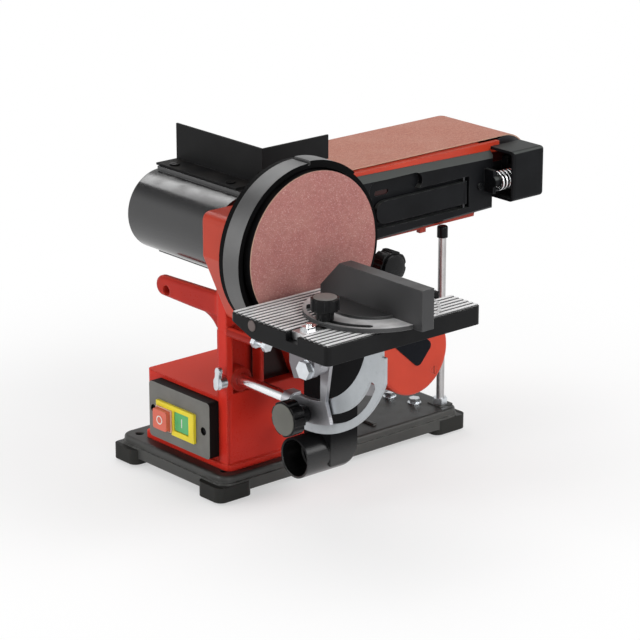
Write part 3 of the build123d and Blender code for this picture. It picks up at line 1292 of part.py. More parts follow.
def table_bracket():
    """Boss on the rod's end, arched flange round the stud, post up to the table's pivot and an ear."""
    boss_r = ROD_R + CARRIER_WALL
    body = rod_y(boss_r, ROD_FRONT, BRACKET_BACK, ROD_X, ROD_Z)
    body += block(ROD_X, POST_RIGHT, ROD_FRONT, BRACKET_BACK, ROD_Z - boss_r, ROD_Z + boss_r)
    body -= block(POST_RIGHT, POST_RIGHT + boss_r, ROD_FRONT, BRACKET_BACK, ROD_Z - boss_r, ROD_Z + boss_r)
    flange = sector(FLANGE_OUTER_R, FLANGE_START, FLANGE_STOP) - Circle(FLANGE_INNER_R)
    ear_spot = Pos(EAR_BOLT_Y, EAR_BOLT_Z) * Circle(BRACKET_EAR_R)
    post = outline((PIVOT_Y - LUG_ROUND, PIVOT_Z), (EAR_BOLT_Y - BRACKET_EAR_R, EAR_BOLT_Z),
                   (BRACKET_FRONT, POST_FOOT), (POST_FOOT_BACK, POST_FOOT), (POST_FOOT_BACK, EAR_BOLT_Z),
                   (PIVOT_Y + LUG_ROUND, PIVOT_Z))
    post += Pos(PIVOT_Y, PIVOT_Z) * Circle(LUG_ROUND)
    body += plate_x(post + ear_spot + Pos(*FLANGE_MIDDLE) * flange, POST_LEFT, POST_RIGHT)
    ear = outline((EAR_BOLT_Y - BRACKET_EAR_R, BRACKET_EAR_TOP), (EAR_BOLT_Y - BRACKET_EAR_R, EAR_BOLT_Z),
                  (EAR_BOLT_Y, EAR_BOLT_Z - BRACKET_EAR_R), BRACKET_EAR_TIP, (BRACKET_EAR_BACK, EAR_BOLT_Z),
                  (BRACKET_EAR_BACK, BRACKET_EAR_TOP))
    ear_right = BRACKET_EAR_LEFT + BRACKET_EAR_THICK
    body += plate_x(ear + ear_spot, BRACKET_EAR_LEFT, ear_right)
    body += rod_x(BRACKET_EAR_R - LUG_SHY, ear_right, POST_LEFT, EAR_BOLT_Y, EAR_BOLT_Z)
    body -= rod_x(EAR_BOLT_R, BRACKET_EAR_LEFT, POST_RIGHT, EAR_BOLT_Y, EAR_BOLT_Z)
    body -= rod_x(PIVOT_R + RUN_FIT, POST_LEFT, POST_RIGHT, PIVOT_Y, PIVOT_Z)
    body -= rod_x(STUD_R + RUN_FIT, POST_LEFT, POST_RIGHT, STUD_Y, STUD_Z)
    return body - rod_y(ROD_R, ROD_FRONT, BRACKET_BACK, ROD_X, ROD_Z)


def bracket_bolt():
    """Hex bolt with a washer through the bracket's ear."""
    left = BRACKET_EAR_LEFT
    body = rod_x(EAR_BOLT_R, left, POST_RIGHT, EAR_BOLT_Y, EAR_BOLT_Z)
    body += rod_x(EAR_WASHER_R, left - WASHER, left, EAR_BOLT_Y, EAR_BOLT_Z)
    head = Pos(EAR_BOLT_Y, EAR_BOLT_Z) * hexagon(EAR_HEX)
    return body + plate_x(head, left - WASHER - HEX_HEIGHT, left - WASHER)


def quadrant_knob():
    """Clamp knob with its stud through the bracket and a nut behind the quadrant."""
    stud = Pos(STUD_Y, STUD_Z)
    grip_end = CARRIER_LEFT - QUADRANT_KNOB_GAP
    grip = stud * lobes(QUADRANT_KNOB_R, QUADRANT_KNOB_LOBES, QUADRANT_KNOB_BITE)
    body = plate_x(grip, grip_end - QUADRANT_KNOB, grip_end)
    body += rod_x(QUADRANT_KNOB_R / 2, grip_end, POST_LEFT - AIR, STUD_Y, STUD_Z)
    nut_end = QUADRANT_RIGHT + AIR + HEX_HEIGHT
    body += rod_x(STUD_R, grip_end, nut_end + STUD_PROUD, STUD_Y, STUD_Z)
    return body + plate_x(stud * hexagon(HEX), QUADRANT_RIGHT + AIR, nut_end)


def quadrant():
    """Slotted tilt plate hanging from the table."""
    face = sector(QUADRANT_OUTER_R, QUADRANT_START, QUADRANT_STOP) - Circle(QUADRANT_INNER_R)
    lowest = QUADRANT_MIDDLE[1] - 2 * QUADRANT_OUTER_R
    farthest = QUADRANT_MIDDLE[0] + QUADRANT_OUTER_R
    below = outline((QUADRANT_FRONT, lowest), (QUADRANT_FRONT, QUADRANT_SHOULDER),
                    (farthest, QUADRANT_SHOULDER), (farthest, lowest))
    face = Pos(*QUADRANT_MIDDLE) * face & below
    front, back = QUADRANT_ROOT
    root_end = QUADRANT_SHOULDER - ROOT
    face += outline((front, root_end), (back, root_end), (back, CHANNEL_FLOOR), (front, CHANNEL_FLOOR))
    half = STUD_R + AIR
    slot = sector(QUADRANT_SLOT_R + half, QUADRANT_SLOT_START, QUADRANT_SLOT_STOP)
    slot -= Circle(QUADRANT_SLOT_R - half)
    for angle in (QUADRANT_SLOT_START, QUADRANT_SLOT_STOP):
        spot = Pos(QUADRANT_SLOT_R * cos(radians(angle)), QUADRANT_SLOT_R * sin(radians(angle)))
        slot += spot * Circle(half)
    return plate_x(face - Pos(PIVOT_Y, PIVOT_Z) * slot, QUADRANT_LEFT, QUADRANT_RIGHT)


CHANNEL_FLOOR = TABLE_TOP - SLOT_DEPTH - CHANNEL_WALL
LUG_LEFT = (POST_LEFT - LUG_GAP - LUG_LEFT_THICK, POST_LEFT - LUG_GAP)
LUG_RIGHT = (QUADRANT_RIGHT + END_GAP, QUADRANT_RIGHT + END_GAP + LUG_RIGHT_THICK)


def table_frame():
    """Table casting: skirt, skin, mitre channel and pivot lugs."""
    bottom = TABLE_TOP - TABLE_EDGE
    seat = TABLE_TOP - RIB_HEIGHT - TOP_SHEET
    body = block(TABLE_LEFT, TABLE_RIGHT, TABLE_FRONT, TABLE_BACK, bottom, TABLE_TOP - RIB_HEIGHT)
    body = round_along(body, Axis.Z, TABLE_ROUND)
    wall = TABLE_WALL
    channel = (SLOT_Y - SLOT_WIDTH / 2 - wall, SLOT_Y + SLOT_WIDTH / 2 + wall)
    for y0, y1 in ((TABLE_FRONT + wall, channel[0]), (channel[1], TABLE_BACK - wall)):
        body -= block(TABLE_LEFT + wall, TABLE_RIGHT - wall, y0, y1, bottom, seat - TABLE_SKIN)
    slope = outline((TABLE_BACK, TABLE_TOP - TABLE_BACK_EDGE), (TABLE_BACK, bottom),
                    (TABLE_BACK - TABLE_BACK_SLOPE, bottom))
    body -= plate_x(slope, TABLE_LEFT, TABLE_RIGHT)
    body += rod_x(TABLE_PLUG_R, TABLE_LEFT - TABLE_PLUG_PROUD, TABLE_LEFT + ROOT, *TABLE_PLUG)
    for x0, x1, y0, y1 in TOP_PANELS:
        body -= block(x0, x1, y0, y1, seat, TABLE_TOP)
    body -= block(TABLE_LEFT, TABLE_RIGHT, SLOT_Y - SLOT_WIDTH / 2, SLOT_Y + SLOT_WIDTH / 2,
                  TABLE_TOP - SLOT_DEPTH, TABLE_TOP)
    lug_front = PIVOT_Y - LUG_ROUND
    lug_back = PIVOT_Y + LUG_ROUND - LUG_SHY
    lug = outline((lug_front, seat - TABLE_SKIN), (lug_front, PIVOT_Z), (lug_back, PIVOT_Z),
                  (lug_back, seat - TABLE_SKIN))
    lug += Pos(PIVOT_Y, PIVOT_Z) * Circle(LUG_ROUND - LUG_SHY)
    for x0, x1 in (LUG_LEFT, LUG_RIGHT):
        body += plate_x(lug, x0, x1)
    body -= block(QUADRANT_LEFT, QUADRANT_RIGHT, TABLE_FRONT + wall, channel[1], bottom, CHANNEL_FLOOR)
    body -= block(POST_LEFT - END_GAP, POST_RIGHT + END_GAP, TABLE_BACK - wall, TABLE_BACK, bottom,
                  CHANNEL_FLOOR)
    return body - rod_x(PIVOT_R, LUG_LEFT[0], LUG_RIGHT[1], PIVOT_Y, PIVOT_Z)


PANEL_MARGIN = 2
SLOT_FRONT_EDGE = SLOT_Y - SLOT_WIDTH / 2
SLOT_BACK_EDGE = SLOT_Y + SLOT_WIDTH / 2
TOP_SPANS = ((SLOT_BACK_EDGE, TABLE_BACK), (TABLE_FRONT, SLOT_FRONT_EDGE))
TOP_PANELS = [(TABLE_LEFT + PANEL_MARGIN, TABLE_RIGHT - PANEL_MARGIN, y0 + PANEL_MARGIN, y1 - PANEL_MARGIN)
              for y0, y1 in TOP_SPANS]


def table_top():
    """Ribbed sheets let into the table on both sides of the mitre slot."""
    sheets = []
    for x0, x1, y0, y1 in TOP_PANELS:
        sheet = block(x0, x1, y0, y1, TABLE_TOP - RIB_HEIGHT - TOP_SHEET, TABLE_TOP - RIB_HEIGHT)
        count = int((y1 - y0 - RIB_WIDTH) / RIB_PITCH) + 1
        first = (y0 + y1 - (count - 1) * RIB_PITCH) / 2
        for step in range(count):
            y = first + step * RIB_PITCH
            sheet += block(x0, x1, y - RIB_WIDTH / 2, y + RIB_WIDTH / 2, TABLE_TOP - RIB_HEIGHT, TABLE_TOP)
        sheets.append(sheet)
    return Compound(children=sheets)


def pivot_bolt():
    spot = Pos(PIVOT_Y, PIVOT_Z)
    left = LUG_LEFT[0]
    right = LUG_RIGHT[1]
    body = rod_x(PIVOT_R, left, right + HEX_HEIGHT + ROOT, PIVOT_Y, PIVOT_Z)
    body += plate_x(spot * hexagon(HEX), left - HEX_HEIGHT, left)
    return body + plate_x(spot * hexagon(HEX), right, right + HEX_HEIGHT)


BAR_TOP = TABLE_TOP - BAR_SUNK
KNOB_X = MITRE_X - MITRE_SLOT_R
HEAD_BOTTOM = TABLE_TOP + AIR
MITRE_TOP = HEAD_BOTTOM + MITRE_THICK
FLANGE_TOP = HEAD_BOTTOM + MITRE_FLANGE


def mitre_bar():
    half = SLOT_WIDTH / 2 - SLIDE_GAP
    body = block(BAR_LEFT, BAR_RIGHT, SLOT_Y - half, SLOT_Y + half, TABLE_TOP - SLOT_DEPTH + AIR, BAR_TOP)
    body += rod_z(MITRE_PIN_R, BAR_TOP, HEAD_BOTTOM + MITRE_PIN, MITRE_X, SLOT_Y)
    return body - rod_z(MITRE_CLAMP_R + RUN_FIT, TABLE_TOP - SLOT_DEPTH, BAR_TOP, KNOB_X, SLOT_Y)


def mitre_head():
    """Half-moon protractor plate with a raised hub behind the fence and an arc slot for the clamp knob."""
    left_half = outline((FENCE_LEFT - MITRE_X, -2 * MITRE_R), (FENCE_LEFT - MITRE_X, 2 * MITRE_R),
                        (-2 * MITRE_R, 2 * MITRE_R), (-2 * MITRE_R, -2 * MITRE_R))
    face = Circle(MITRE_R) & left_half
    slot_half = MITRE_CLAMP_R + AIR
    start = 180 - MITRE_SWIVEL - MITRE_SLOT_SPARE
    stop = 180 + MITRE_SWIVEL + MITRE_SLOT_SPARE
    slot = sector(MITRE_SLOT_R + slot_half, start, stop) - Circle(MITRE_SLOT_R - slot_half)
    for angle in (start, stop):
        spot = Pos(MITRE_SLOT_R * cos(radians(angle)), MITRE_SLOT_R * sin(radians(angle)))
        slot += spot * Circle(slot_half)
    body = plate_z(Pos(MITRE_X, SLOT_Y) * (face - slot), HEAD_BOTTOM, FLANGE_TOP)
    return body + plate_z(Pos(MITRE_X, SLOT_Y) * (Circle(MITRE_HUB_R) & left_half), HEAD_BOTTOM, MITRE_TOP)


def mitre_fence():
    """Upright fence whose end towards the disc slopes down."""
    side = outline((FENCE_FRONT, HEAD_BOTTOM), (FENCE_BACK_FOOT, HEAD_BOTTOM),
                   (FENCE_BACK_FOOT, HEAD_BOTTOM + FENCE_BACK_SIDE), (FENCE_BACK, FENCE_TOP),
                   (FENCE_FRONT, FENCE_TOP))
    body = plate_x(side, FENCE_LEFT, FENCE_RIGHT)
    return body - rod_z(MITRE_PIN_R + RUN_FIT, HEAD_BOTTOM, HEAD_BOTTOM + MITRE_PIN + AIR, MITRE_X, SLOT_Y)


def mitre_knob():
    grip_bottom = MITRE_KNOB_TOP - MITRE_KNOB_GRIP
    face = Pos(KNOB_X, SLOT_Y) * lobes(MITRE_KNOB_R, MITRE_KNOB_LOBES, MITRE_KNOB_BITE)
    body = plate_z(face, grip_bottom, MITRE_KNOB_TOP)
    body += rod_z(MITRE_KNOB_NECK_R, FLANGE_TOP + AIR, grip_bottom, KNOB_X, SLOT_Y)
    screw_end = TABLE_TOP - SLOT_DEPTH + MITRE_KNOB_END
    return body + rod_z(MITRE_CLAMP_R, screw_end, FLANGE_TOP + AIR, KNOB_X, SLOT_Y)


def mitre_pointer():
    tip = MITRE_X - MITRE_R - AIR
    side = tip - POINTER_TIP
    end = tip - POINTER_LENGTH
    face = outline((tip, SLOT_Y), (side, SLOT_Y + POINTER_HALF), (end, SLOT_Y + POINTER_HALF),
                   (end, SLOT_Y - POINTER_HALF), (side, SLOT_Y - POINTER_HALF))
    top = HEAD_BOTTOM + POINTER_THICK
    body = plate_z(face, BAR_TOP, top)
    return body + rod_z(POINTER_RIVET_R, top, top + POINTER_RIVET, tip - POINTER_RIVET_OUT, SLOT_Y)


NODES = [
    base_plate, base_feet, stand, stand_bolts, cable_gland, switch_panel, switch_screws, switch_frame,
    button_on, button_off, drive_housing, drive_cover, housing_screws, label_plate, spindle,
    spindle_bearings, spindle_pulley, drive_belt, motor_pulley, motor_shaft, motor_housing, motor_end_cap,
    disc_plate, sanding_disc, disc_housing, dust_hood, drum, arm_frame, arm_cover, arm_cover_screws,
    tension_lever, lever_pin, idler_slider, idler_axle, idler_roller, tension_spring, end_box, tracking_knob,
    sanding_belt, belt_guard, work_stop, stop_screws, arm_lock_knob, support_rod, support_cap, support_nut,
    thumb_screw, table_rod, table_bracket, bracket_bolt, quadrant_knob, quadrant, pivot_bolt, table_frame,
    table_top, mitre_bar, mitre_head, mitre_fence, mitre_knob, mitre_pointer,
]

os.makedirs("parts", exist_ok=True)
to_bench = Pos(-BASE_X, -BASE_Y, -BENCH)
for node in NODES:
    export_step(to_bench * node(), f"parts/{node.__name__}.step")
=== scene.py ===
from math import cos, pi, radians, sin
import bpy
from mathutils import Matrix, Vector


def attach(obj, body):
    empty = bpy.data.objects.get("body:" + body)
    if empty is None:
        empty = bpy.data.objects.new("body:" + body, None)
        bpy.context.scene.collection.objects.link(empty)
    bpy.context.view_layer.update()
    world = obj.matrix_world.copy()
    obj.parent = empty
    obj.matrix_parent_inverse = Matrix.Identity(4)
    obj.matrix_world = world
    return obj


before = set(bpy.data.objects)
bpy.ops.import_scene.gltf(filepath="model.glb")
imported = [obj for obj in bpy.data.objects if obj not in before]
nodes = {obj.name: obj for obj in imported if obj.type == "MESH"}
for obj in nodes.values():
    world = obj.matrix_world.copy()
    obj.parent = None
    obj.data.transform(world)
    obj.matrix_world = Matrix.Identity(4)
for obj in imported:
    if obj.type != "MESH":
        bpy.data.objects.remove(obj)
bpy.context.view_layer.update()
scene = bpy.context.scene

# The centre of the disc's face, from which the machine's own measures are taken in millimetres.
DISC_CENTRE = Vector((-0.106, -0.158, 0.2605))
MM_PER_M = 1000


def at(x, y, z):
    """A point given in millimetres from the disc's centre, in metres from the bench."""
    return DISC_CENTRE + Vector((x, y, z)) / MM_PER_M


MITRE_PIVOT = at(-8, -88, 0)

# Noises of the finishes: the size in metres and the detail.
PAINT_CLOUDS = 0.045, 3
PAINT_PEEL = 0.0016, 2
PAINT_SWELL = 0.009, 2
PAINT_RUB = 0.006, 4
SETTLED_DUST = 0.02, 5
MOULD_CLOUDS = 0.03, 3
SMALL_CLOUDS = 0.02, 3
SPARK = 0.0007, 3
SCUFFS = 0.004, 6
HANDLING = 0.008, 3
PANEL_RUB = 0.006, 3
METAL_CLOUDS = 0.012, 4
DRAWN_LINES = 0.0012, 3
HANDLING_SPOTS = 0.003, 5
GRIT_CLUMPS = 0.004, 4
WOOD_DUST = 0.03, 4
BLOOM = 0.01, 4
PORES = 0.0006, 3
TOOL_MARKS = 0.0007, 3
TABLE_CLOUDS = 0.018, 4
TABLE_RUB = 0.005, 5
FLANGE_BRUSHING = 0.0010, 3
SCALE_CLOUDS = 0.01, 4
SCALE_BRUSHING = 0.0008, 3
FLOOR_CLOUDS = 0.4, 2

# The readings between which a noise fades in.
SOFT = 0.3, 0.7
EASED = 0.3, 0.75
PATCHY = 0.35, 0.75
SPOTTED = 0.58, 0.75
SCUFFED = 0.60, 0.72

# Along an edge: how far it bends before it shows, and how much wider than its radius it is rubbed.
EDGE_BEND = 0.004, 0.16
PAINT_EDGE = 1.3
MOULD_EDGE = 1.4
BEVEL_SAMPLES = 4

DULL_COAT = {"Roughness": 0.55, "Specular IOR Level": 0.04}


class Reading:
    """A value read off a node. Sums of readings add their own Math nodes."""

    def __init__(self, owner, socket):
        self.owner = owner
        self.socket = socket

    def math(self, operation, first, second):
        return self.owner.node("Math", {"operation": operation}, {0: first, 1: second})

    def __add__(self, other):
        return self.math("ADD", self, other)

    __radd__ = __add__

    def __sub__(self, other):
        return self.math("SUBTRACT", self, other)

    def __rsub__(self, other):
        return self.math("SUBTRACT", other, self)

    def __mul__(self, other):
        return self.math("MULTIPLY", self, other)

    __rmul__ = __mul__

    def __pow__(self, other):
        return self.math("POWER", self, other)

    def most(self, other):
        """The greater of two readings."""
        return self.math("MAXIMUM", self, other)

    def step(self, low, high):
        """0 below low, 1 above high and smooth between them."""
        return self.owner.node("MapRange", {"interpolation_type": "SMOOTHSTEP"},
                               {"Value": self, "From Min": low, "From Max": high})


class Nodes:
    """A node tree that grows one node at a time."""

    def __init__(self, tree):
        self.tree = tree

    def join(self, socket, value):
        if isinstance(value, Reading):
            self.tree.links.new(value.socket, socket)
        else:
            socket.default_value = value

    def node(self, kind, settings=(), sockets=(), output=0):
        """Any node: its settings are set first, then its sockets get values or links."""
        made = self.tree.nodes.new("ShaderNode" + kind)
        for name, value in dict(settings).items():
            setattr(made, name, value)
        for name, value in dict(sockets).items():
            self.join(made.inputs[name], value)
        return Reading(self, made.outputs[output])

    def looked_at(self):
        """1 for what is seen directly, in a shine or through something clear."""
        camera, glossy, clear = (self.node("LightPath", output=f"Is {ray} Ray")
                                 for ray in ("Camera", "Glossy", "Transmission"))
        return camera.most(glossy).most(clear)


class Finish(Nodes):
    """A material whose patterns lie on the machine's own coordinates."""

    def __init__(self, name, **uniform):
        self.material = bpy.data.materials.new(name)
        self.material.use_nodes = True
        super().__init__(self.material.node_tree)
        self.shader = self.tree.nodes["Principled BSDF"]
        for socket, value in uniform.items():
            self.shader.inputs[socket.replace("_", " ")].default_value = value
        self.place = self.node("TexCoord", output="Object")

    def stretched(self, x, y, z):
        """The coordinates scaled along each axis."""
        return self.node("Mapping", {}, {"Vector": self.place, "Scale": (x, y, z)})

    def noise(self, size, detail, place=None):
        """Clouds about size metres across, from 0 to 1."""
        return self.node("TexNoise", {}, {"Vector": place or self.place, "Scale": 1 / size, "Detail": detail})

    def grains(self, size, output):
        """Cells about size metres across."""
        return self.node("TexVoronoi", {}, {"Vector": self.place, "Scale": 1 / size}, output)

    def mix(self, factor, one, other):
        return self.node("Mix", {"data_type": "RGBA"}, {0: factor, 6: one, 7: other}, 2)

    def rounded(self, radius):
        """The normal of edges eased to a radius in metres."""
        return self.node("Bevel", {"samples": BEVEL_SAMPLES}, {"Radius": radius})

    def edges(self, radius):
        """1 along sharp edges, falling to 0 a radius away from them."""
        flat = self.node("NewGeometry", output="Normal")
        agree = self.node("VectorMath", {"operation": "DOT_PRODUCT"}, {0: self.rounded(radius), 1: flat},
                          "Value")
        return (1 - agree).step(*EDGE_BEND)

    def bump(self, height, depth, normal=None):
        sockets = {"Height": height, "Distance": depth, "Strength": 1.0}
        if normal:
            sockets["Normal"] = normal
        return self.node("Bump", {}, sockets)

    def along(self, axis):
        """The place along an axis, in metres."""
        return self.node("SeparateXYZ", {}, {0: self.place}, axis)

    def past(self, axis, low, high):
        """0 before low and 1 past high along an axis, in millimetres from the disc's centre."""
        return self.along(axis).step(*(at(mm, mm, mm)["XYZ".index(axis)] for mm in (low, high)))

    def before(self, axis, low, high):
        """1 before low and 0 past high along an axis, in millimetres from the disc's centre."""
        return 1 - self.past(axis, low, high)

    def facing(self, axis):
        """How far the surface faces along an axis such as Z or -Z, from -1 to 1."""
        normal = self.node("NewGeometry", output="Normal")
        turned = self.node("SeparateXYZ", {}, {0: normal}, axis[-1])
        return -1 * turned if axis.startswith("-") else turned

    def covered(self, where, shader):
        """Lays another shader over the finish where the reading is 1."""
        bare = Reading(self, self.shader.outputs[0])
        mixed = self.node("MixShader", {}, {0: where, 1: bare, 2: shader})
        self.join(self.tree.nodes["Material Output"].inputs["Surface"], mixed)

    def dulled(self, where, colour):
        """Lays a dull coat over the finish where the reading is 1."""
        self.covered(where, self.node("BsdfPrincipled", {}, {"Base Color": colour, **DULL_COAT}))

    def wear(self, **sockets):
        for socket, value in sockets.items():
            self.join(self.shader.inputs[socket.replace("_", " ")], value)
        return self.material


def rgb(red, green, blue):
    return red, green, blue, 1.0


def grey(shade, blue=None):
    return rgb(shade, shade, shade if blue is None else blue)


def times(factor, colour):
    return rgb(*(factor * part for part in colour))


LOOKS_UP = 0.6, 0.95
# How much of the paler coat the stand's top gets, as painted light.
STAND_TOP_LIGHT_COAT = 0.85
EAR_COAT = 0.7
# Painted shade on the stand: its strength in the column's hollow near the left wall, what it gains away from
# it, and its strength on lug and bosses.
HOLLOW_SHADE_NEAR = 0.20
HOLLOW_SHADE_FAR = 0.78
LUG_SHADE = 0.28
BOSS_SHADE = 0.45
# How strong the painted shade is under the arm.
ARM_UNDER_SHADE = 0.45


def upper_faces(paint):
    """1 on the faces that look up."""
    return paint.facing("Z").step(*LOOKS_UP)


def stand_top_painted_light(paint):
    """Near 1 on the faces of the stand that look up, which get a paler matt coat as painted light."""
    return STAND_TOP_LIGHT_COAT * upper_faces(paint)


def base_ears(paint):
    """Near 1 on the ears that stand out beyond the base's sides and below its edge."""
    ends = paint.before("X", -50.6, -50.2) + paint.past("X", 262.2, 262.6)
    sides = paint.before("Y", 73.4, 73.8) + paint.past("Y", 242.2, 242.6)
    return EAR_COAT * ends.most(sides).most(paint.before("Z", -252.6, -252.2))


def column_painted_shade(paint):
    """Painted shade on the stand: most in its column's hollow away from the left wall, less on lug and bosses.
    """
    floor = paint.facing("-Y").step(0.90, 0.95) * paint.past("Y", 97, 97.5)
    floor = floor * (HOLLOW_SHADE_NEAR + HOLLOW_SHADE_FAR * paint.past("X", -1, 7))
    lug = paint.past("Y", 104, 112) * paint.past("Z", -120, -110)
    bosses = paint.before("Y", 86.6, 87.6) * paint.past("Z", -175, -170)
    return floor.most(lug * LUG_SHADE + bosses * BOSS_SHADE)


def red_painted_shade(paint):
    """1 where shade is painted: behind the arm's cover and end box and in the gap behind the disc's ring, less
    under the arm.
    """
    arm = paint.past("Y", 91, 92)
    inside = arm * paint.past("Z", -27, -26) * paint.before("Z", 18, 19)
    inside = inside * paint.facing("-Y").step(0.5, 0.7).most(paint.past("X", 314, 316))
    gap = paint.before("X", -20, -15) * paint.before("Y", 41, 41.6)
    under = arm * paint.before("Z", -27, -26)
    return inside.most(gap).most(under * ARM_UNDER_SHADE)


def edge_plug(paint):
    """1 on the small plug that stands proud of the table's left edge."""
    return paint.before("X", -102.4, -102.2)


def casting_paint(name, deep, pale, worn, gloss, peel, edge, wear, level, patch=None, tone=None,
                  dull=None, coat=None):
    """Sprayed paint on a casting: soft clouds, orange peel, rubbed edges and a thin film of dust on top.

    A patch is a place that is painted in another tone, and a dull place has a matt coat of its own; here these
    carry painted shade and painted light, as well as the plug's own colour."""
    paint = Finish(name, Specular_IOR_Level=level)
    clouds = paint.noise(*PAINT_CLOUDS)
    fine = paint.noise(*PAINT_PEEL)
    rubbed = (paint.edges(edge * PAINT_EDGE) * paint.noise(*PAINT_RUB)).step(*EASED) * wear
    dust = paint.facing("Z").step(0.5, 1.0) * paint.noise(*SETTLED_DUST).step(0.35, 0.8)
    colour = paint.mix(clouds.step(*SOFT), rgb(*deep), rgb(*pale))
    if patch:
        colour = paint.mix(patch(paint), colour, rgb(*tone))
    colour = paint.mix(dust * 0.02, colour, rgb(0.62, 0.50, 0.40))
    colour = paint.mix(rubbed, colour, rgb(*worn))
    if dull:
        paint.dulled(dull(paint), rgb(*coat))
    rough = gloss + fine * 0.08 + clouds * 0.06 + dust * 0.12 + rubbed * 0.12
    height = paint.noise(*PAINT_SWELL) * 0.55 + fine * 0.45
    return paint.wear(Base_Color=colour, Roughness=rough, Normal=paint.bump(height, peel, paint.rounded(edge)))


def moulding(name, deep, pale, gloss, grain, edge, level):
    """Moulded plastic: a fine spark texture, faint flow clouds and paler handled edges."""
    plastic = Finish(name, Specular_IOR_Level=level)
    clouds = plastic.noise(*MOULD_CLOUDS)
    spark = plastic.noise(*SPARK)
    scuffs = plastic.noise(*SCUFFS, plastic.stretched(1, 0.25, 1)).step(*SCUFFED)
    handled = plastic.edges(edge * MOULD_EDGE) * plastic.noise(*HANDLING).step(*PATCHY)
    colour = plastic.mix(clouds.step(*SOFT), rgb(*deep), rgb(*pale))
    colour = plastic.mix(handled * 0.25 + scuffs * 0.03, colour, rgb(*(0.25 + 0.6 * part for part in pale)))
    rough = gloss + spark * 0.10 + clouds * 0.07 + scuffs * 0.08
    return plastic.wear(Base_Color=colour, Roughness=rough,
                        Normal=plastic.bump(spark, grain, plastic.rounded(edge)))


def flat_moulding(name, shade, slope_sheen, gloss, edge):
    """Dark moulded cover: a fine grain, and a painted grey sheen on slopes that look up, standing in for the
    light they catch.
    """
    plastic = Finish(name, Specular_IOR_Level=0.08)
    clouds = plastic.noise(*MOULD_CLOUDS)
    spark = plastic.noise(*SPARK)
    rise = plastic.facing("Z")
    slope = rise.step(0.30, 0.60) * (1 - rise.step(0.80, 0.97) * 0.6)
    handled = plastic.edges(edge * MOULD_EDGE) * plastic.noise(*HANDLING).step(*PATCHY)
    colour = plastic.mix(clouds.step(*SOFT), rgb(*shade), times(1.7, shade))
    # The grey on upward slopes is a painted sheen.
    colour = plastic.mix(slope, colour, rgb(*slope_sheen))
    colour = plastic.mix(handled * 0.22, colour, grey(0.20))
    return plastic.wear(Base_Color=colour, Roughness=gloss + spark * 0.10 + clouds * 0.07,
                        Normal=plastic.bump(spark, 0.00002, plastic.rounded(edge)))


def rim_moulding(name, shade, back):
    """The ring round the disc: satin outside, dull and black in front, with painted shade as a dull black coat
    on the narrow band behind.
    """
    plastic = Finish(name, Specular_IOR_Level=1.0)
    behind = plastic.past("Y", back, back + 0.4)
    front = plastic.facing("-Y").step(0.5, 0.9)
    spark = plastic.noise(*SPARK)
    clouds = plastic.noise(*MOULD_CLOUDS)
    colour = plastic.mix(clouds.step(*SOFT), grey(shade), grey(shade * 1.6, shade * 1.65))
    # The band behind gets painted shade, dull black where the recess would lie in shadow.
    plastic.dulled(behind.most(front), grey(0.002, 0.0022))
    return plastic.wear(Base_Color=colour, Roughness=0.30 + spark * 0.10 + clouds * 0.06,
                        Normal=plastic.bump(spark, 0.00003, plastic.rounded(0.001)))


def hood_moulding(name, shade, glossy_below, dull_above):
    """The dust hood: glossy round its port and elbow, dull on the flat front above them."""
    plastic = Finish(name, Specular_IOR_Level=0.7)
    upper = plastic.past("Z", glossy_below, dull_above)
    spark = plastic.noise(*SPARK)
    clouds = plastic.noise(*SMALL_CLOUDS)
    colour = plastic.mix(clouds.step(*SOFT), grey(shade), grey(shade * 1.7, shade * 1.75))
    plastic.dulled(upper, grey(shade, shade * 1.1))
    return plastic.wear(Base_Color=colour, Roughness=0.16 + spark * 0.08 + clouds * 0.06,
                        Normal=plastic.bump(spark, 0.00002, plastic.rounded(0.0016)))


def plated(name, colour, dull, gloss, edge, grain, patchy=0.4, left=None):
    """Plated or bare metal: fine drawn lines, cloudy passivation and darker handling marks.

    The grain stretches the drawn lines. A left is painted shade: another tone for the faces that look left,
    fullest on their upper part."""
    metal = Finish(name, Metallic=1.0)
    clouds = metal.noise(*METAL_CLOUDS)
    lines = metal.noise(*DRAWN_LINES, metal.stretched(*grain))
    spots = metal.noise(*HANDLING_SPOTS).step(*SPOTTED)
    tone = metal.mix(clouds.step(*EASED) * patchy + spots * 0.25, rgb(*colour), rgb(*dull))
    if left:
        # Painted shade on the faces that look left.
        upper = metal.past("Z", -122, -112)
        tone = metal.mix(metal.facing("-X").step(0.6, 0.9) * (0.15 + 0.85 * upper), tone, rgb(*left))
    rough = gloss + lines * 0.12 + clouds * 0.08 + spots * 0.10
    return metal.wear(Base_Color=tone, Roughness=rough, Normal=metal.bump(lines, 0.00002, metal.rounded(edge)))


def cut_edge(paper):
    """1 on the thin cut edge of the belt or the disc, which shows its tan backing."""
    across = paper.facing("Y")
    on_belt = paper.past("Y", 40, 60)
    return on_belt * paper.facing("-Y").step(0.7, 0.9) + (1 - on_belt) * (1 - (across * across).step(0.2, 0.5))


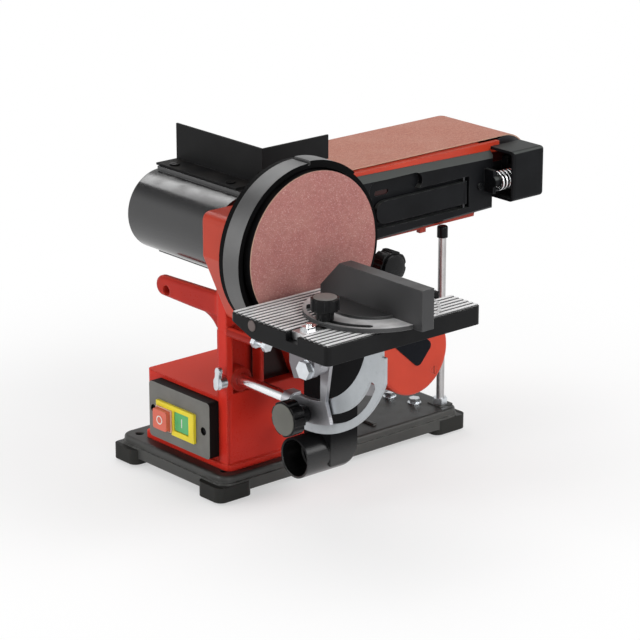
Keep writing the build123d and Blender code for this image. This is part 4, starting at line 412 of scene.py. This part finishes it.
def abrasive(name, deep, pale, grit, worn):
    """Bonded grit: single grains in clumps, bright broken faces and faint dust where wood has run."""
    paper = Finish(name, Specular_IOR_Level=0.25)
    clumps = paper.noise(*GRIT_CLUMPS)
    tone = paper.node("SeparateColor", {}, {0: paper.grains(grit, "Color")}, 0)
    sparkle = tone.step(0.86, 0.96)
    colour = paper.mix(tone * 0.65 + clumps.step(*SOFT) * 0.35, rgb(*deep), rgb(*pale))
    colour = paper.mix(paper.noise(*WOOD_DUST).step(*PATCHY) * worn, colour, rgb(0.62, 0.42, 0.33))
    colour = paper.mix(sparkle * 0.22, colour, rgb(0.80, 0.62, 0.56))
    colour = paper.mix(cut_edge(paper), colour, rgb(0.50, 0.31, 0.23))
    rough = 0.85 - sparkle * 0.25
    height = (1 - paper.grains(grit, "Distance")) * 0.7 + clumps * 0.5
    return paper.wear(Base_Color=colour, Roughness=rough, Normal=paper.bump(height, grit * 0.45))


def rubber(name, shade):
    """Matt rubber with a faint bloom."""
    soft = Finish(name, Specular_IOR_Level=0.35)
    pores = soft.noise(*PORES)
    colour = soft.mix(soft.noise(*BLOOM).step(0.35, 0.7), grey(shade), grey(shade * 2.2, shade * 2.1))
    return soft.wear(Base_Color=colour, Roughness=0.62 + pores * 0.2,
                     Normal=soft.bump(pores, 0.00008, soft.rounded(0.0006)))


def ribbed_aluminium(name, groove_floor, rib_top):
    """Milled aluminium: bright rib tops with tool marks along them, and painted shade, near black, on the rib
    sides and down in the grooves.
    """
    metal = Finish(name, Metallic=0.1)
    marks = metal.noise(*TOOL_MARKS, metal.stretched(0.04, 1, 1))
    clouds = metal.noise(*TABLE_CLOUDS)
    up = metal.facing("Z").step(0.4, 0.95)
    rub = metal.noise(*TABLE_RUB, metal.stretched(0.3, 1, 1)).step(0.55, 0.75)
    shaded_groove = metal.before("Z", groove_floor, rib_top)
    tone = metal.mix(clouds.step(*EASED) * 0.5, grey(0.88), rgb(0.76, 0.77, 0.78))
    # Painted shade on the faces that do not look up and in the grooves.
    tone = metal.mix((1 - up) * 0.45 + shaded_groove * 0.5, tone, grey(0.010, 0.011))
    rough = 0.22 + marks * 0.12 + clouds * 0.08 - rub * 0.06 + shaded_groove * 0.3
    return metal.wear(Base_Color=tone, Roughness=rough,
                      Normal=metal.bump(marks, 0.00003, metal.rounded(0.0004)))


def sheen_faced_panel(name, face, body, gloss):
    """Moulded black panel: its face towards the operator painted grey, a painted sheen of the light it catches;
    black sides, a fine grain and a paler rubbed edge.
    """
    plastic = Finish(name, Specular_IOR_Level=0.3)
    front = plastic.facing("-X").step(0.90, 0.98)
    clouds = plastic.noise(*SMALL_CLOUDS)
    spark = plastic.noise(*SPARK)
    rubbed = plastic.edges(0.0014) * plastic.noise(*PANEL_RUB).step(*SOFT)
    tone = plastic.mix(clouds.step(*SOFT), rgb(*face), times(0.85, face))
    tone = plastic.mix(front, rgb(*body), tone)
    tone = plastic.mix(rubbed * 0.35, tone, rgb(0.30, 0.29, 0.27))
    plastic.dulled((1 - front) * 0.85, grey(0.004))
    return plastic.wear(Base_Color=tone, Roughness=gloss + spark * 0.12 + clouds * 0.06,
                        Normal=plastic.bump(spark, 0.00003, plastic.rounded(0.001)))


MITRE_HUB = 0.0365
HUB_FADE = 0.0006


def round_mitre(finish):
    """The place along X and Y from the mitre gauge's pivot."""
    return finish.along("X") - MITRE_PIVOT.x, finish.along("Y") - MITRE_PIVOT.y


def flange_metal(name, paint, bare):
    """The mitre head: dark paint on its hub and sides, the flat flange round it rubbed to bare metal and paler
    towards its right end as painted light.
    """
    metal = Finish(name, Specular_IOR_Level=0.4)
    x, y = round_mitre(metal)
    reach = (x * x + y * y) ** 0.5
    rubbed = metal.facing("Z").step(0.7, 0.95) * reach.step(MITRE_HUB, MITRE_HUB + HUB_FADE)
    # Painted light: the bare flange is dimmer towards its left end.
    rubbed = rubbed * (0.22 + 0.78 * metal.past("X", -70, -24))
    brushed = metal.noise(*FLANGE_BRUSHING)
    bright = metal.mix(metal.noise(*METAL_CLOUDS).step(*SOFT), rgb(*bare), times(0.75, bare))
    tone = metal.mix(rubbed, rgb(*paint), bright)
    tone = metal.mix(metal.edges(0.0012) * 0.35, tone, grey(0.30))
    return metal.wear(Base_Color=tone, Metallic=rubbed * 0.1, Roughness=0.34 + brushed * 0.12 - rubbed * 0.06,
                      Normal=metal.bump(brushed, 0.00003, metal.rounded(0.0009)))


# Each finish and the CAD nodes that wear it. Edges, peel and grain are in metres.
FINISHES = {
    # The red enamel's patch is painted shade, a near black red behind the arm's cover and end box and in the
    # gap behind the ring.
    casting_paint("red_enamel", deep=(0.42, 0.034, 0.014), pale=(0.48, 0.041, 0.017), worn=(0.62, 0.12, 0.07),
                  gloss=0.24, peel=0.00006, edge=0.0018, wear=0.35, level=0.25,
                  patch=red_painted_shade, tone=(0.020, 0.002, 0.002)):
        ("drive_housing", "drive_cover", "arm_frame", "housing_screws"),
    # The stand's patch is painted shade, near black red in its column's hollow and on lug and bosses; its paler
    # dull coat on top is painted light.
    casting_paint("stand_enamel", deep=(0.51, 0.023, 0.014), pale=(0.57, 0.029, 0.016), worn=(0.66, 0.12, 0.07),
                  gloss=0.22, peel=0.00006, edge=0.0032, wear=0.25, level=0.12,
                  patch=column_painted_shade, tone=(0.010, 0.002, 0.002), dull=stand_top_painted_light, coat=(0.72, 0.068, 0.044)):
        ("stand",),
    casting_paint("black_enamel", deep=(0.0045, 0.0045, 0.005), pale=(0.007, 0.007, 0.0075),
                  worn=(0.06, 0.06, 0.06), gloss=0.26, peel=0.00005, edge=0.0010, wear=0.5, level=0.10,
                  patch=edge_plug, tone=(0.13, 0.105, 0.100)):
        ("table_frame", "disc_plate", "stop_screws", "switch_screws"),
    # The base's sides are painted a paler grey than its top, which the patch darkens, and its ears, which the
    # dull coat darkens: a painted sheen of the light its sides catch.
    casting_paint("base_enamel", deep=(0.036, 0.036, 0.034), pale=(0.050, 0.050, 0.047),
                  worn=(0.16, 0.16, 0.15), gloss=0.30, peel=0.00006, edge=0.0022, wear=0.5, level=0.3,
                  patch=upper_faces, tone=(0.016, 0.016, 0.015), dull=base_ears, coat=(0.012, 0.012, 0.011)):
        ("base_plate",),
    casting_paint("gauge_enamel", deep=(0.024, 0.024, 0.025), pale=(0.034, 0.034, 0.035),
                  worn=(0.14, 0.14, 0.14), gloss=0.32, peel=0.00006, edge=0.0009, wear=0.6, level=0.40):
        ("mitre_fence",),
    flange_metal("flange_metal", paint=(0.030, 0.030, 0.031), bare=(0.82, 0.82, 0.82)):
        ("mitre_head",),
    casting_paint("guard_enamel", deep=(0.006, 0.006, 0.0068), pale=(0.009, 0.009, 0.0098),
                  worn=(0.08, 0.08, 0.08), gloss=0.10, peel=0.00001, edge=0.0010, wear=0.4, level=0.78):
        ("belt_guard",),
    casting_paint("sheet_enamel", deep=(0.006, 0.006, 0.0063), pale=(0.010, 0.010, 0.0104),
                  worn=(0.09, 0.09, 0.09), gloss=0.46, peel=0.00005, edge=0.0006, wear=0.4, level=0.10):
        ("work_stop",),
    flat_moulding("flat_black", shade=(0.0040, 0.0043, 0.0050), slope_sheen=(0.070, 0.075, 0.072), gloss=0.34,
                  edge=0.0010):
        ("arm_cover", "tension_lever", "end_box", "motor_end_cap", "cable_gland", "arm_cover_screws"),
    moulding("label_blank", deep=(0.0030, 0.0036, 0.0055), pale=(0.0042, 0.0050, 0.0075), gloss=0.36,
             grain=0.00001, edge=0.0004, level=0.06):
        ("label_plate",),
    moulding("black_moulding", deep=(0.0040, 0.0040, 0.0043), pale=(0.007, 0.007, 0.0074), gloss=0.14,
             grain=0.00002, edge=0.0012, level=0.12):
        ("tracking_knob", "arm_lock_knob", "support_cap", "quadrant_knob", "mitre_knob"),
    rim_moulding("satin_moulding", shade=0.028, back=29):
        ("disc_housing",),
    hood_moulding("hood_moulding", shade=0.005, glossy_below=-215, dull_above=-185):
        ("dust_hood",),
    # The panel's grey face is a painted sheen on black plastic.
    sheen_faced_panel("panel_painted_sheen", face=(0.150, 0.147, 0.135), body=(0.008, 0.008, 0.008), gloss=0.34):
        ("switch_panel",),
    moulding("yellow_moulding", deep=(0.70, 0.56, 0.022), pale=(0.80, 0.66, 0.030), gloss=0.30,
             grain=0.00002, edge=0.0010, level=0.35):
        ("switch_frame",),
    moulding("red_moulding", deep=(0.58, 0.105, 0.060), pale=(0.65, 0.135, 0.085), gloss=0.28,
             grain=0.00002, edge=0.0012, level=0.35):
        ("button_off",),
    moulding("green_moulding", deep=(0.075, 0.36, 0.120), pale=(0.105, 0.43, 0.160), gloss=0.28,
             grain=0.00002, edge=0.0010, level=0.35):
        ("button_on",),
    plated("zinc_plate", colour=(0.70, 0.73, 0.76), dull=(0.50, 0.52, 0.54), gloss=0.22, edge=0.0006,
           grain=(1, 1, 0.2)):
        ("stand_bolts", "support_nut", "bracket_bolt", "pivot_bolt", "thumb_screw"),
    plated("zinc_sheet", colour=(0.44, 0.465, 0.485), dull=(0.35, 0.37, 0.385), gloss=0.36, edge=0.0006,
           grain=(1, 1, 0.2)):
        ("quadrant",),
    # The bracket's left tone is painted shade on its faces that look left.
    plated("dull_zinc", colour=(0.40, 0.40, 0.42), dull=(0.28, 0.28, 0.30), gloss=0.34, edge=0.0007,
           grain=(1, 1, 0.4), patchy=0.5, left=(0.19, 0.18, 0.19)):
        ("table_bracket",),
    plated("chrome", colour=(0.90, 0.91, 0.92), dull=(0.76, 0.77, 0.79), gloss=0.07, edge=0.0006,
           grain=(1, 0.15, 1), patchy=0.3):
        ("tension_spring", "table_rod", "mitre_pointer"),
    plated("ground_steel", colour=(0.46, 0.45, 0.45), dull=(0.34, 0.33, 0.33), gloss=0.30, edge=0.0005,
           grain=(1, 1, 0.1)):
        ("support_rod",),
    plated("bright_steel", colour=(0.60, 0.60, 0.60), dull=(0.42, 0.42, 0.43), gloss=0.22, edge=0.0005,
           grain=(0.1, 1, 1)):
        ("spindle", "spindle_bearings", "motor_shaft", "mitre_bar"),
    plated("dark_steel", colour=(0.060, 0.060, 0.064), dull=(0.030, 0.030, 0.032), gloss=0.34, edge=0.0005,
           grain=(1, 0.2, 1)):
        ("lever_pin", "idler_axle", "idler_roller", "idler_slider"),
    plated("cast_aluminium", colour=(0.74, 0.75, 0.76), dull=(0.55, 0.56, 0.58), gloss=0.34, edge=0.0007,
           grain=(1, 1, 1)):
        ("spindle_pulley", "motor_pulley"),
    plated("motor_metal", colour=(0.30, 0.30, 0.31), dull=(0.20, 0.20, 0.21), gloss=0.42, edge=0.0007,
           grain=(1, 1, 1)):
        ("motor_housing",),
    ribbed_aluminium("ribbed_aluminium", groove_floor=-35.9, rib_top=-35.2):
        ("table_top",),
    abrasive("disc_grit", deep=(0.275, 0.106, 0.097), pale=(0.39, 0.162, 0.147), grit=0.00062, worn=0.10):
        ("sanding_disc",),
    abrasive("belt_grit", deep=(0.38, 0.155, 0.115), pale=(0.53, 0.240, 0.180), grit=0.00055, worn=0.12):
        ("sanding_belt",),
    rubber("black_rubber", shade=0.010):
        ("base_feet", "drive_belt", "drum"),
}
for material, names in FINISHES.items():
    for name in names:
        mesh = nodes[name].data
        mesh.materials.clear()
        mesh.materials.append(material)

# Pieces modelled here: a face counts as an end face when its normal lies this near the axis.
END_FACE = 0.9
SMOOTH_ANGLE = 35


def begin(kind, stretch=(1, 1, 1), **settings):
    """Starts a piece from a primitive stretched to size, with nothing else selected."""
    bpy.ops.object.select_all(action="DESELECT")
    getattr(bpy.ops.mesh, "primitive_" + kind + "_add")(**settings)
    piece = bpy.context.object
    piece.scale = stretch
    bpy.ops.object.transform_apply(location=False, rotation=True, scale=True)
    return piece


def pick(piece, wanted):
    """Leaves the piece in edit mode with only the wanted faces selected."""
    bpy.ops.object.mode_set(mode="EDIT")
    bpy.ops.mesh.select_mode(type="FACE")
    bpy.ops.mesh.select_all(action="DESELECT")
    bpy.ops.object.mode_set(mode="OBJECT")
    for face in piece.data.polygons:
        face.select = wanted(face)
    bpy.ops.object.mode_set(mode="EDIT")


def push(x, y, z):
    """Draws the selected faces out by millimetres."""
    bpy.ops.mesh.extrude_region_move(TRANSFORM_OT_translate={"value": Vector((x, y, z)) / MM_PER_M})


def hollow(piece, wall):
    """Cuts through a piece along X and leaves a wall, in metres."""
    pick(piece, lambda face: abs(face.normal.x) > END_FACE)
    bpy.ops.mesh.inset(thickness=wall, depth=0)
    bpy.ops.mesh.bridge_edge_loops()
    bpy.ops.mesh.select_all(action="SELECT")
    bpy.ops.mesh.normals_make_consistent(inside=False)


def finished(piece, name, material, body, smooth=SMOOTH_ANGLE):
    """Puts the piece's place into its mesh, names it and lets it ride its body."""
    bpy.ops.object.mode_set(mode="OBJECT")
    bpy.ops.object.transform_apply(location=True, rotation=True, scale=True)
    bpy.ops.object.shade_smooth_by_angle(angle=radians(smooth))
    piece.name = name
    piece.data.name = name
    piece.data.materials.clear()
    piece.data.materials.append(material)
    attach(piece, body)
    return piece


DOME_SIDES = 48
DOME_RINGS = 5
DOME_TURN = radians(80)
DOME_INSET = 0.00001
DOME_EASE = 0.0003
DOME_SMOOTH_ANGLE = 60


def dome(name, spot, outward, r, skirt, rise, material, body):
    """A round cap with an upright skirt and a rounded crown, drawn ring by ring from a short cylinder."""
    way = Vector(outward)
    middle = at(*spot) + way * skirt / 2 / MM_PER_M
    cap = begin("cylinder", vertices=DOME_SIDES, radius=r / MM_PER_M, depth=skirt / MM_PER_M, location=middle,
                rotation=way.to_track_quat("Z", "Y").to_euler())
    pick(cap, lambda face: face.normal.dot(way) > END_FACE)
    flat = r
    high = 0.0
    for ring in range(1, DOME_RINGS + 1):
        angle = DOME_TURN * ring / DOME_RINGS
        inner = r * cos(angle)
        step = rise * sin(angle) - high
        bpy.ops.mesh.inset(thickness=DOME_INSET, depth=0)
        push(*(way * step))
        bpy.ops.transform.resize(value=(inner / flat,) * 3)
        flat = inner
        high += step
    pick(cap, lambda face: face.normal.dot(way) < -END_FACE)
    bpy.ops.mesh.bevel(offset=min(DOME_EASE, skirt / 4 / MM_PER_M), segments=2, affect="EDGES")
    return finished(cap, name, material, body, DOME_SMOOTH_ANGLE)


olive_cap = moulding("olive_cap", deep=(0.095, 0.095, 0.082), pale=(0.115, 0.115, 0.100), gloss=0.34,
                     grain=0.00002, edge=0.0006, level=0.35)
grey_cap = moulding("grey_cap", deep=(0.120, 0.112, 0.105), pale=(0.145, 0.136, 0.128), gloss=0.30,
                    grain=0.00002, edge=0.0006, level=0.4)
gloss_cap = moulding("gloss_cap", deep=(0.0036, 0.0036, 0.004), pale=(0.006, 0.006, 0.0064), gloss=0.05,
                     grain=0.00001, edge=0.0008, level=0.2)
dome("quadrant_cap", spot=(-40, -2.6, -154.2), outward=(-1, 0, 0), r=15.2, skirt=0.8, rise=1.0,
     material=olive_cap, body="quadrant_lock")
dome("mitre_cap", spot=(-63, -88, -10), outward=(0, 0, 1), r=10.8, skirt=0.6, rise=1.2,
     material=grey_cap, body="gauge_lock")
dome("arm_lock_cap", spot=(119, 23, -46), outward=(0, -1, 0), r=13.5, skirt=1.0, rise=5.5,
     material=gloss_cap, body="arm_lock")


def collar(name, spot, deep, wide, tall, wall, material, body):
    """A square collar standing off the switch frame, hollowed from a block."""
    ring = begin("cube", (deep / MM_PER_M, wide / MM_PER_M, tall / MM_PER_M), size=1, location=at(*spot))
    hollow(ring, wall / MM_PER_M)
    bpy.ops.mesh.bevel(offset=wall / 4 / MM_PER_M, segments=2, affect="EDGES")
    return finished(ring, name, material, body)


pale_collar = moulding("pale_collar", deep=(0.60, 0.33, 0.24), pale=(0.70, 0.42, 0.32), gloss=0.24,
                       grain=0.00002, edge=0.0004, level=0.4)
collar("off_collar", spot=(-48.6, 167.5, -199), deep=2.0, wide=23.4, tall=22.4, wall=0.9,
       material=pale_collar, body="machine")

mark_white = moulding("mark_white", deep=(0.62, 0.60, 0.56), pale=(0.74, 0.72, 0.68), gloss=0.40,
                      grain=0.00001, edge=0.0002, level=0.3)
MARK_DEEP = 0.0004
OFF_MARK_RADIUS = 0.0044
OFF_MARK_WALL = 0.0010
ON_MARK_WIDE = 0.0012
ON_MARK_TALL = 0.0088
ON_MARK_EASE = 0.00012


def off_mark():
    """The ring on the off button, cut from a thin drum."""
    ring = begin("cylinder", vertices=40, radius=OFF_MARK_RADIUS, depth=MARK_DEEP,
                 location=at(-54.1, 167.5, -199), rotation=(0, pi / 2, 0))
    hollow(ring, OFF_MARK_WALL)
    return finished(ring, "off_mark", mark_white, "off_switch")


def on_mark():
    """The bar on the on button, with its outer edges eased."""
    bar = begin("cube", (MARK_DEEP, ON_MARK_WIDE, ON_MARK_TALL), size=1, location=at(-46.6, 142, -197.5))
    pick(bar, lambda face: face.normal.x < -END_FACE)
    bpy.ops.mesh.bevel(offset=ON_MARK_EASE, segments=2, affect="EDGES")
    return finished(bar, "on_mark", mark_white, "on_switch")


off_mark()
on_mark()

SCALE_TICK = radians(5)
SCALE_TICK_EDGE = 0.004, 0.008
SCALE_STEPS = 64
SCALE_WELD = 0.000005


def scale_metal(name):
    """Brushed scale band with a dark tick at every fifth degree."""
    metal = Finish(name, Metallic=1.0)
    x, y = round_mitre(metal)
    turn = x.math("ARCTAN2", y, x)
    across = turn.math("PINGPONG", turn, SCALE_TICK / 2)
    tick = 1 - across.step(*SCALE_TICK_EDGE)
    tone = metal.mix(metal.noise(*SCALE_CLOUDS).step(*SOFT), grey(0.72), grey(0.58, 0.59))
    tone = metal.mix(tick * 0.85, tone, grey(0.03))
    rough = 0.30 + metal.noise(*SCALE_BRUSHING) * 0.15 + tick * 0.2
    return metal.wear(Base_Color=tone, Roughness=rough)


def scale_band(name, inner, outer, low, high, start, stop, material, body):
    """A flat band round the mitre pivot, spun from its cross-section."""
    angle = radians(start)
    way = Vector((cos(angle), sin(angle), 0))
    middle = MITRE_PIVOT + way * (inner + outer) / 2 / MM_PER_M
    middle.z = at(0, 0, (low + high) / 2).z
    band = begin("plane", ((outer - inner) / MM_PER_M, (high - low) / MM_PER_M, 1), size=1, location=middle,
                 rotation=(pi / 2, 0, angle))
    pick(band, lambda face: True)
    bpy.ops.mesh.spin(steps=SCALE_STEPS, angle=radians(stop - start), center=MITRE_PIVOT, axis=(0, 0, 1))
    bpy.ops.mesh.select_all(action="SELECT")
    bpy.ops.mesh.remove_doubles(threshold=SCALE_WELD)
    bpy.ops.mesh.normals_make_consistent(inside=False)
    return finished(band, name, material, body)


scale_band("mitre_scale", inner=59.3, outer=62.0, low=-30.5, high=-30.2, start=100, stop=262,
           material=scale_metal("scale_metal"), body="gauge_head")

# The studio: a white floor, soft light from above and behind, from the left and the front, and a low fill.
FLOOR_RADIUS = 6.0
SHADOW_REACH = 0.24, 0.62
SHADOW_VEIL = 0.5
floor = begin("circle", vertices=96, radius=FLOOR_RADIUS, fill_type="NGON", location=(0, 0, 0))
floor.name = "studio_floor"
paper_white = Finish("studio_white", Specular_IOR_Level=0.0)
paper_tone = paper_white.mix(paper_white.noise(*FLOOR_CLOUDS), grey(0.93), grey(0.95))
paper_white.wear(Base_Color=paper_tone, Roughness=0.9)
away = paper_white.node("VectorMath", {"operation": "LENGTH"}, {0: paper_white.place}, "Value")
veil = paper_white.looked_at() * (SHADOW_VEIL + away.step(*SHADOW_REACH) * (1 - SHADOW_VEIL))
paper_white.covered(veil, paper_white.node("Emission", {}, {"Color": grey(1), "Strength": 1.0}))
floor.data.materials.append(paper_white.material)


def softbox(name, spot, target, wide, tall, watts):
    """A rectangular lamp that faces its target."""
    lamp = bpy.data.lights.new(name, "AREA")
    lamp.shape = "RECTANGLE"
    lamp.size = wide
    lamp.size_y = tall
    lamp.energy = watts
    stand = bpy.data.objects.new(name, lamp)
    stand.location = spot
    stand.rotation_euler = (Vector(target) - Vector(spot)).to_track_quat("-Z", "Y").to_euler()
    scene.collection.objects.link(stand)


softbox("top_light", spot=(0.2, 0.5, 1.9), target=(0, 0, 0.15), wide=1.5, tall=1.2, watts=8.6)
softbox("left_light", spot=(-1.7, 0.5, 0.75), target=(0, 0, 0.2), wide=1.0, tall=1.1, watts=14)
softbox("front_light", spot=(1.1, -1.9, 1.5), target=(0, 0, 0.15), wide=1.4, tall=1.0, watts=33)
softbox("low_fill", spot=(-0.7, -2.0, 0.35), target=(-0.05, 0, 0.10), wide=0.9, tall=0.5, watts=11)
softbox("back_strip", spot=(0.25, 1.35, 1.45), target=(-0.15, 0.05, 0.28), wide=1.4, tall=0.22, watts=5)

# Seen directly or in a shine the sky is white along the horizon and darker overhead.
SKY_LIGHT = 0.36
SKY_HORIZON = 1.0
SKY_OVERHEAD = 0.30
SKY_DARKENS = 0.26, 0.60
world = bpy.data.worlds.new("studio")
world.use_nodes = True
scene.world = world
sky = Nodes(world.node_tree)
background = world.node_tree.nodes["Background"]
height = sky.node("SeparateXYZ", {}, {0: sky.node("TexCoord", output="Generated")}, "Z")
shade = sky.node("MapRange", {"interpolation_type": "SMOOTHSTEP"},
                 {"Value": height, "From Min": SKY_DARKENS[0], "From Max": SKY_DARKENS[1],
                  "To Min": SKY_HORIZON, "To Max": SKY_OVERHEAD})
strength = sky.node("Mix", {"data_type": "FLOAT"}, {0: sky.looked_at(), 2: SKY_LIGHT, 3: shade})
sky.join(background.inputs["Strength"], strength)
background.inputs["Color"].default_value = grey(1)

# The camera stands where the photographer did, with a long lens.
AZIMUTH = radians(-40.786)
ELEVATION = radians(18.305)
LENS = 156.57
SENSOR = 36
FARTHEST = 50
lens = bpy.data.cameras.new("camera")
lens.lens = LENS
lens.sensor_width = SENSOR
lens.clip_end = FARTHEST
camera = bpy.data.objects.new("camera", lens)
back = Vector((sin(AZIMUTH) * cos(ELEVATION), -cos(AZIMUTH) * cos(ELEVATION), sin(ELEVATION)))
camera.location = at(-1588.9, -1849.8, 740.1)
camera.rotation_euler = (-back).to_track_quat("-Z", "Y").to_euler()
scene.collection.objects.link(camera)
scene.camera = camera
scene.view_settings.view_transform = "Standard"
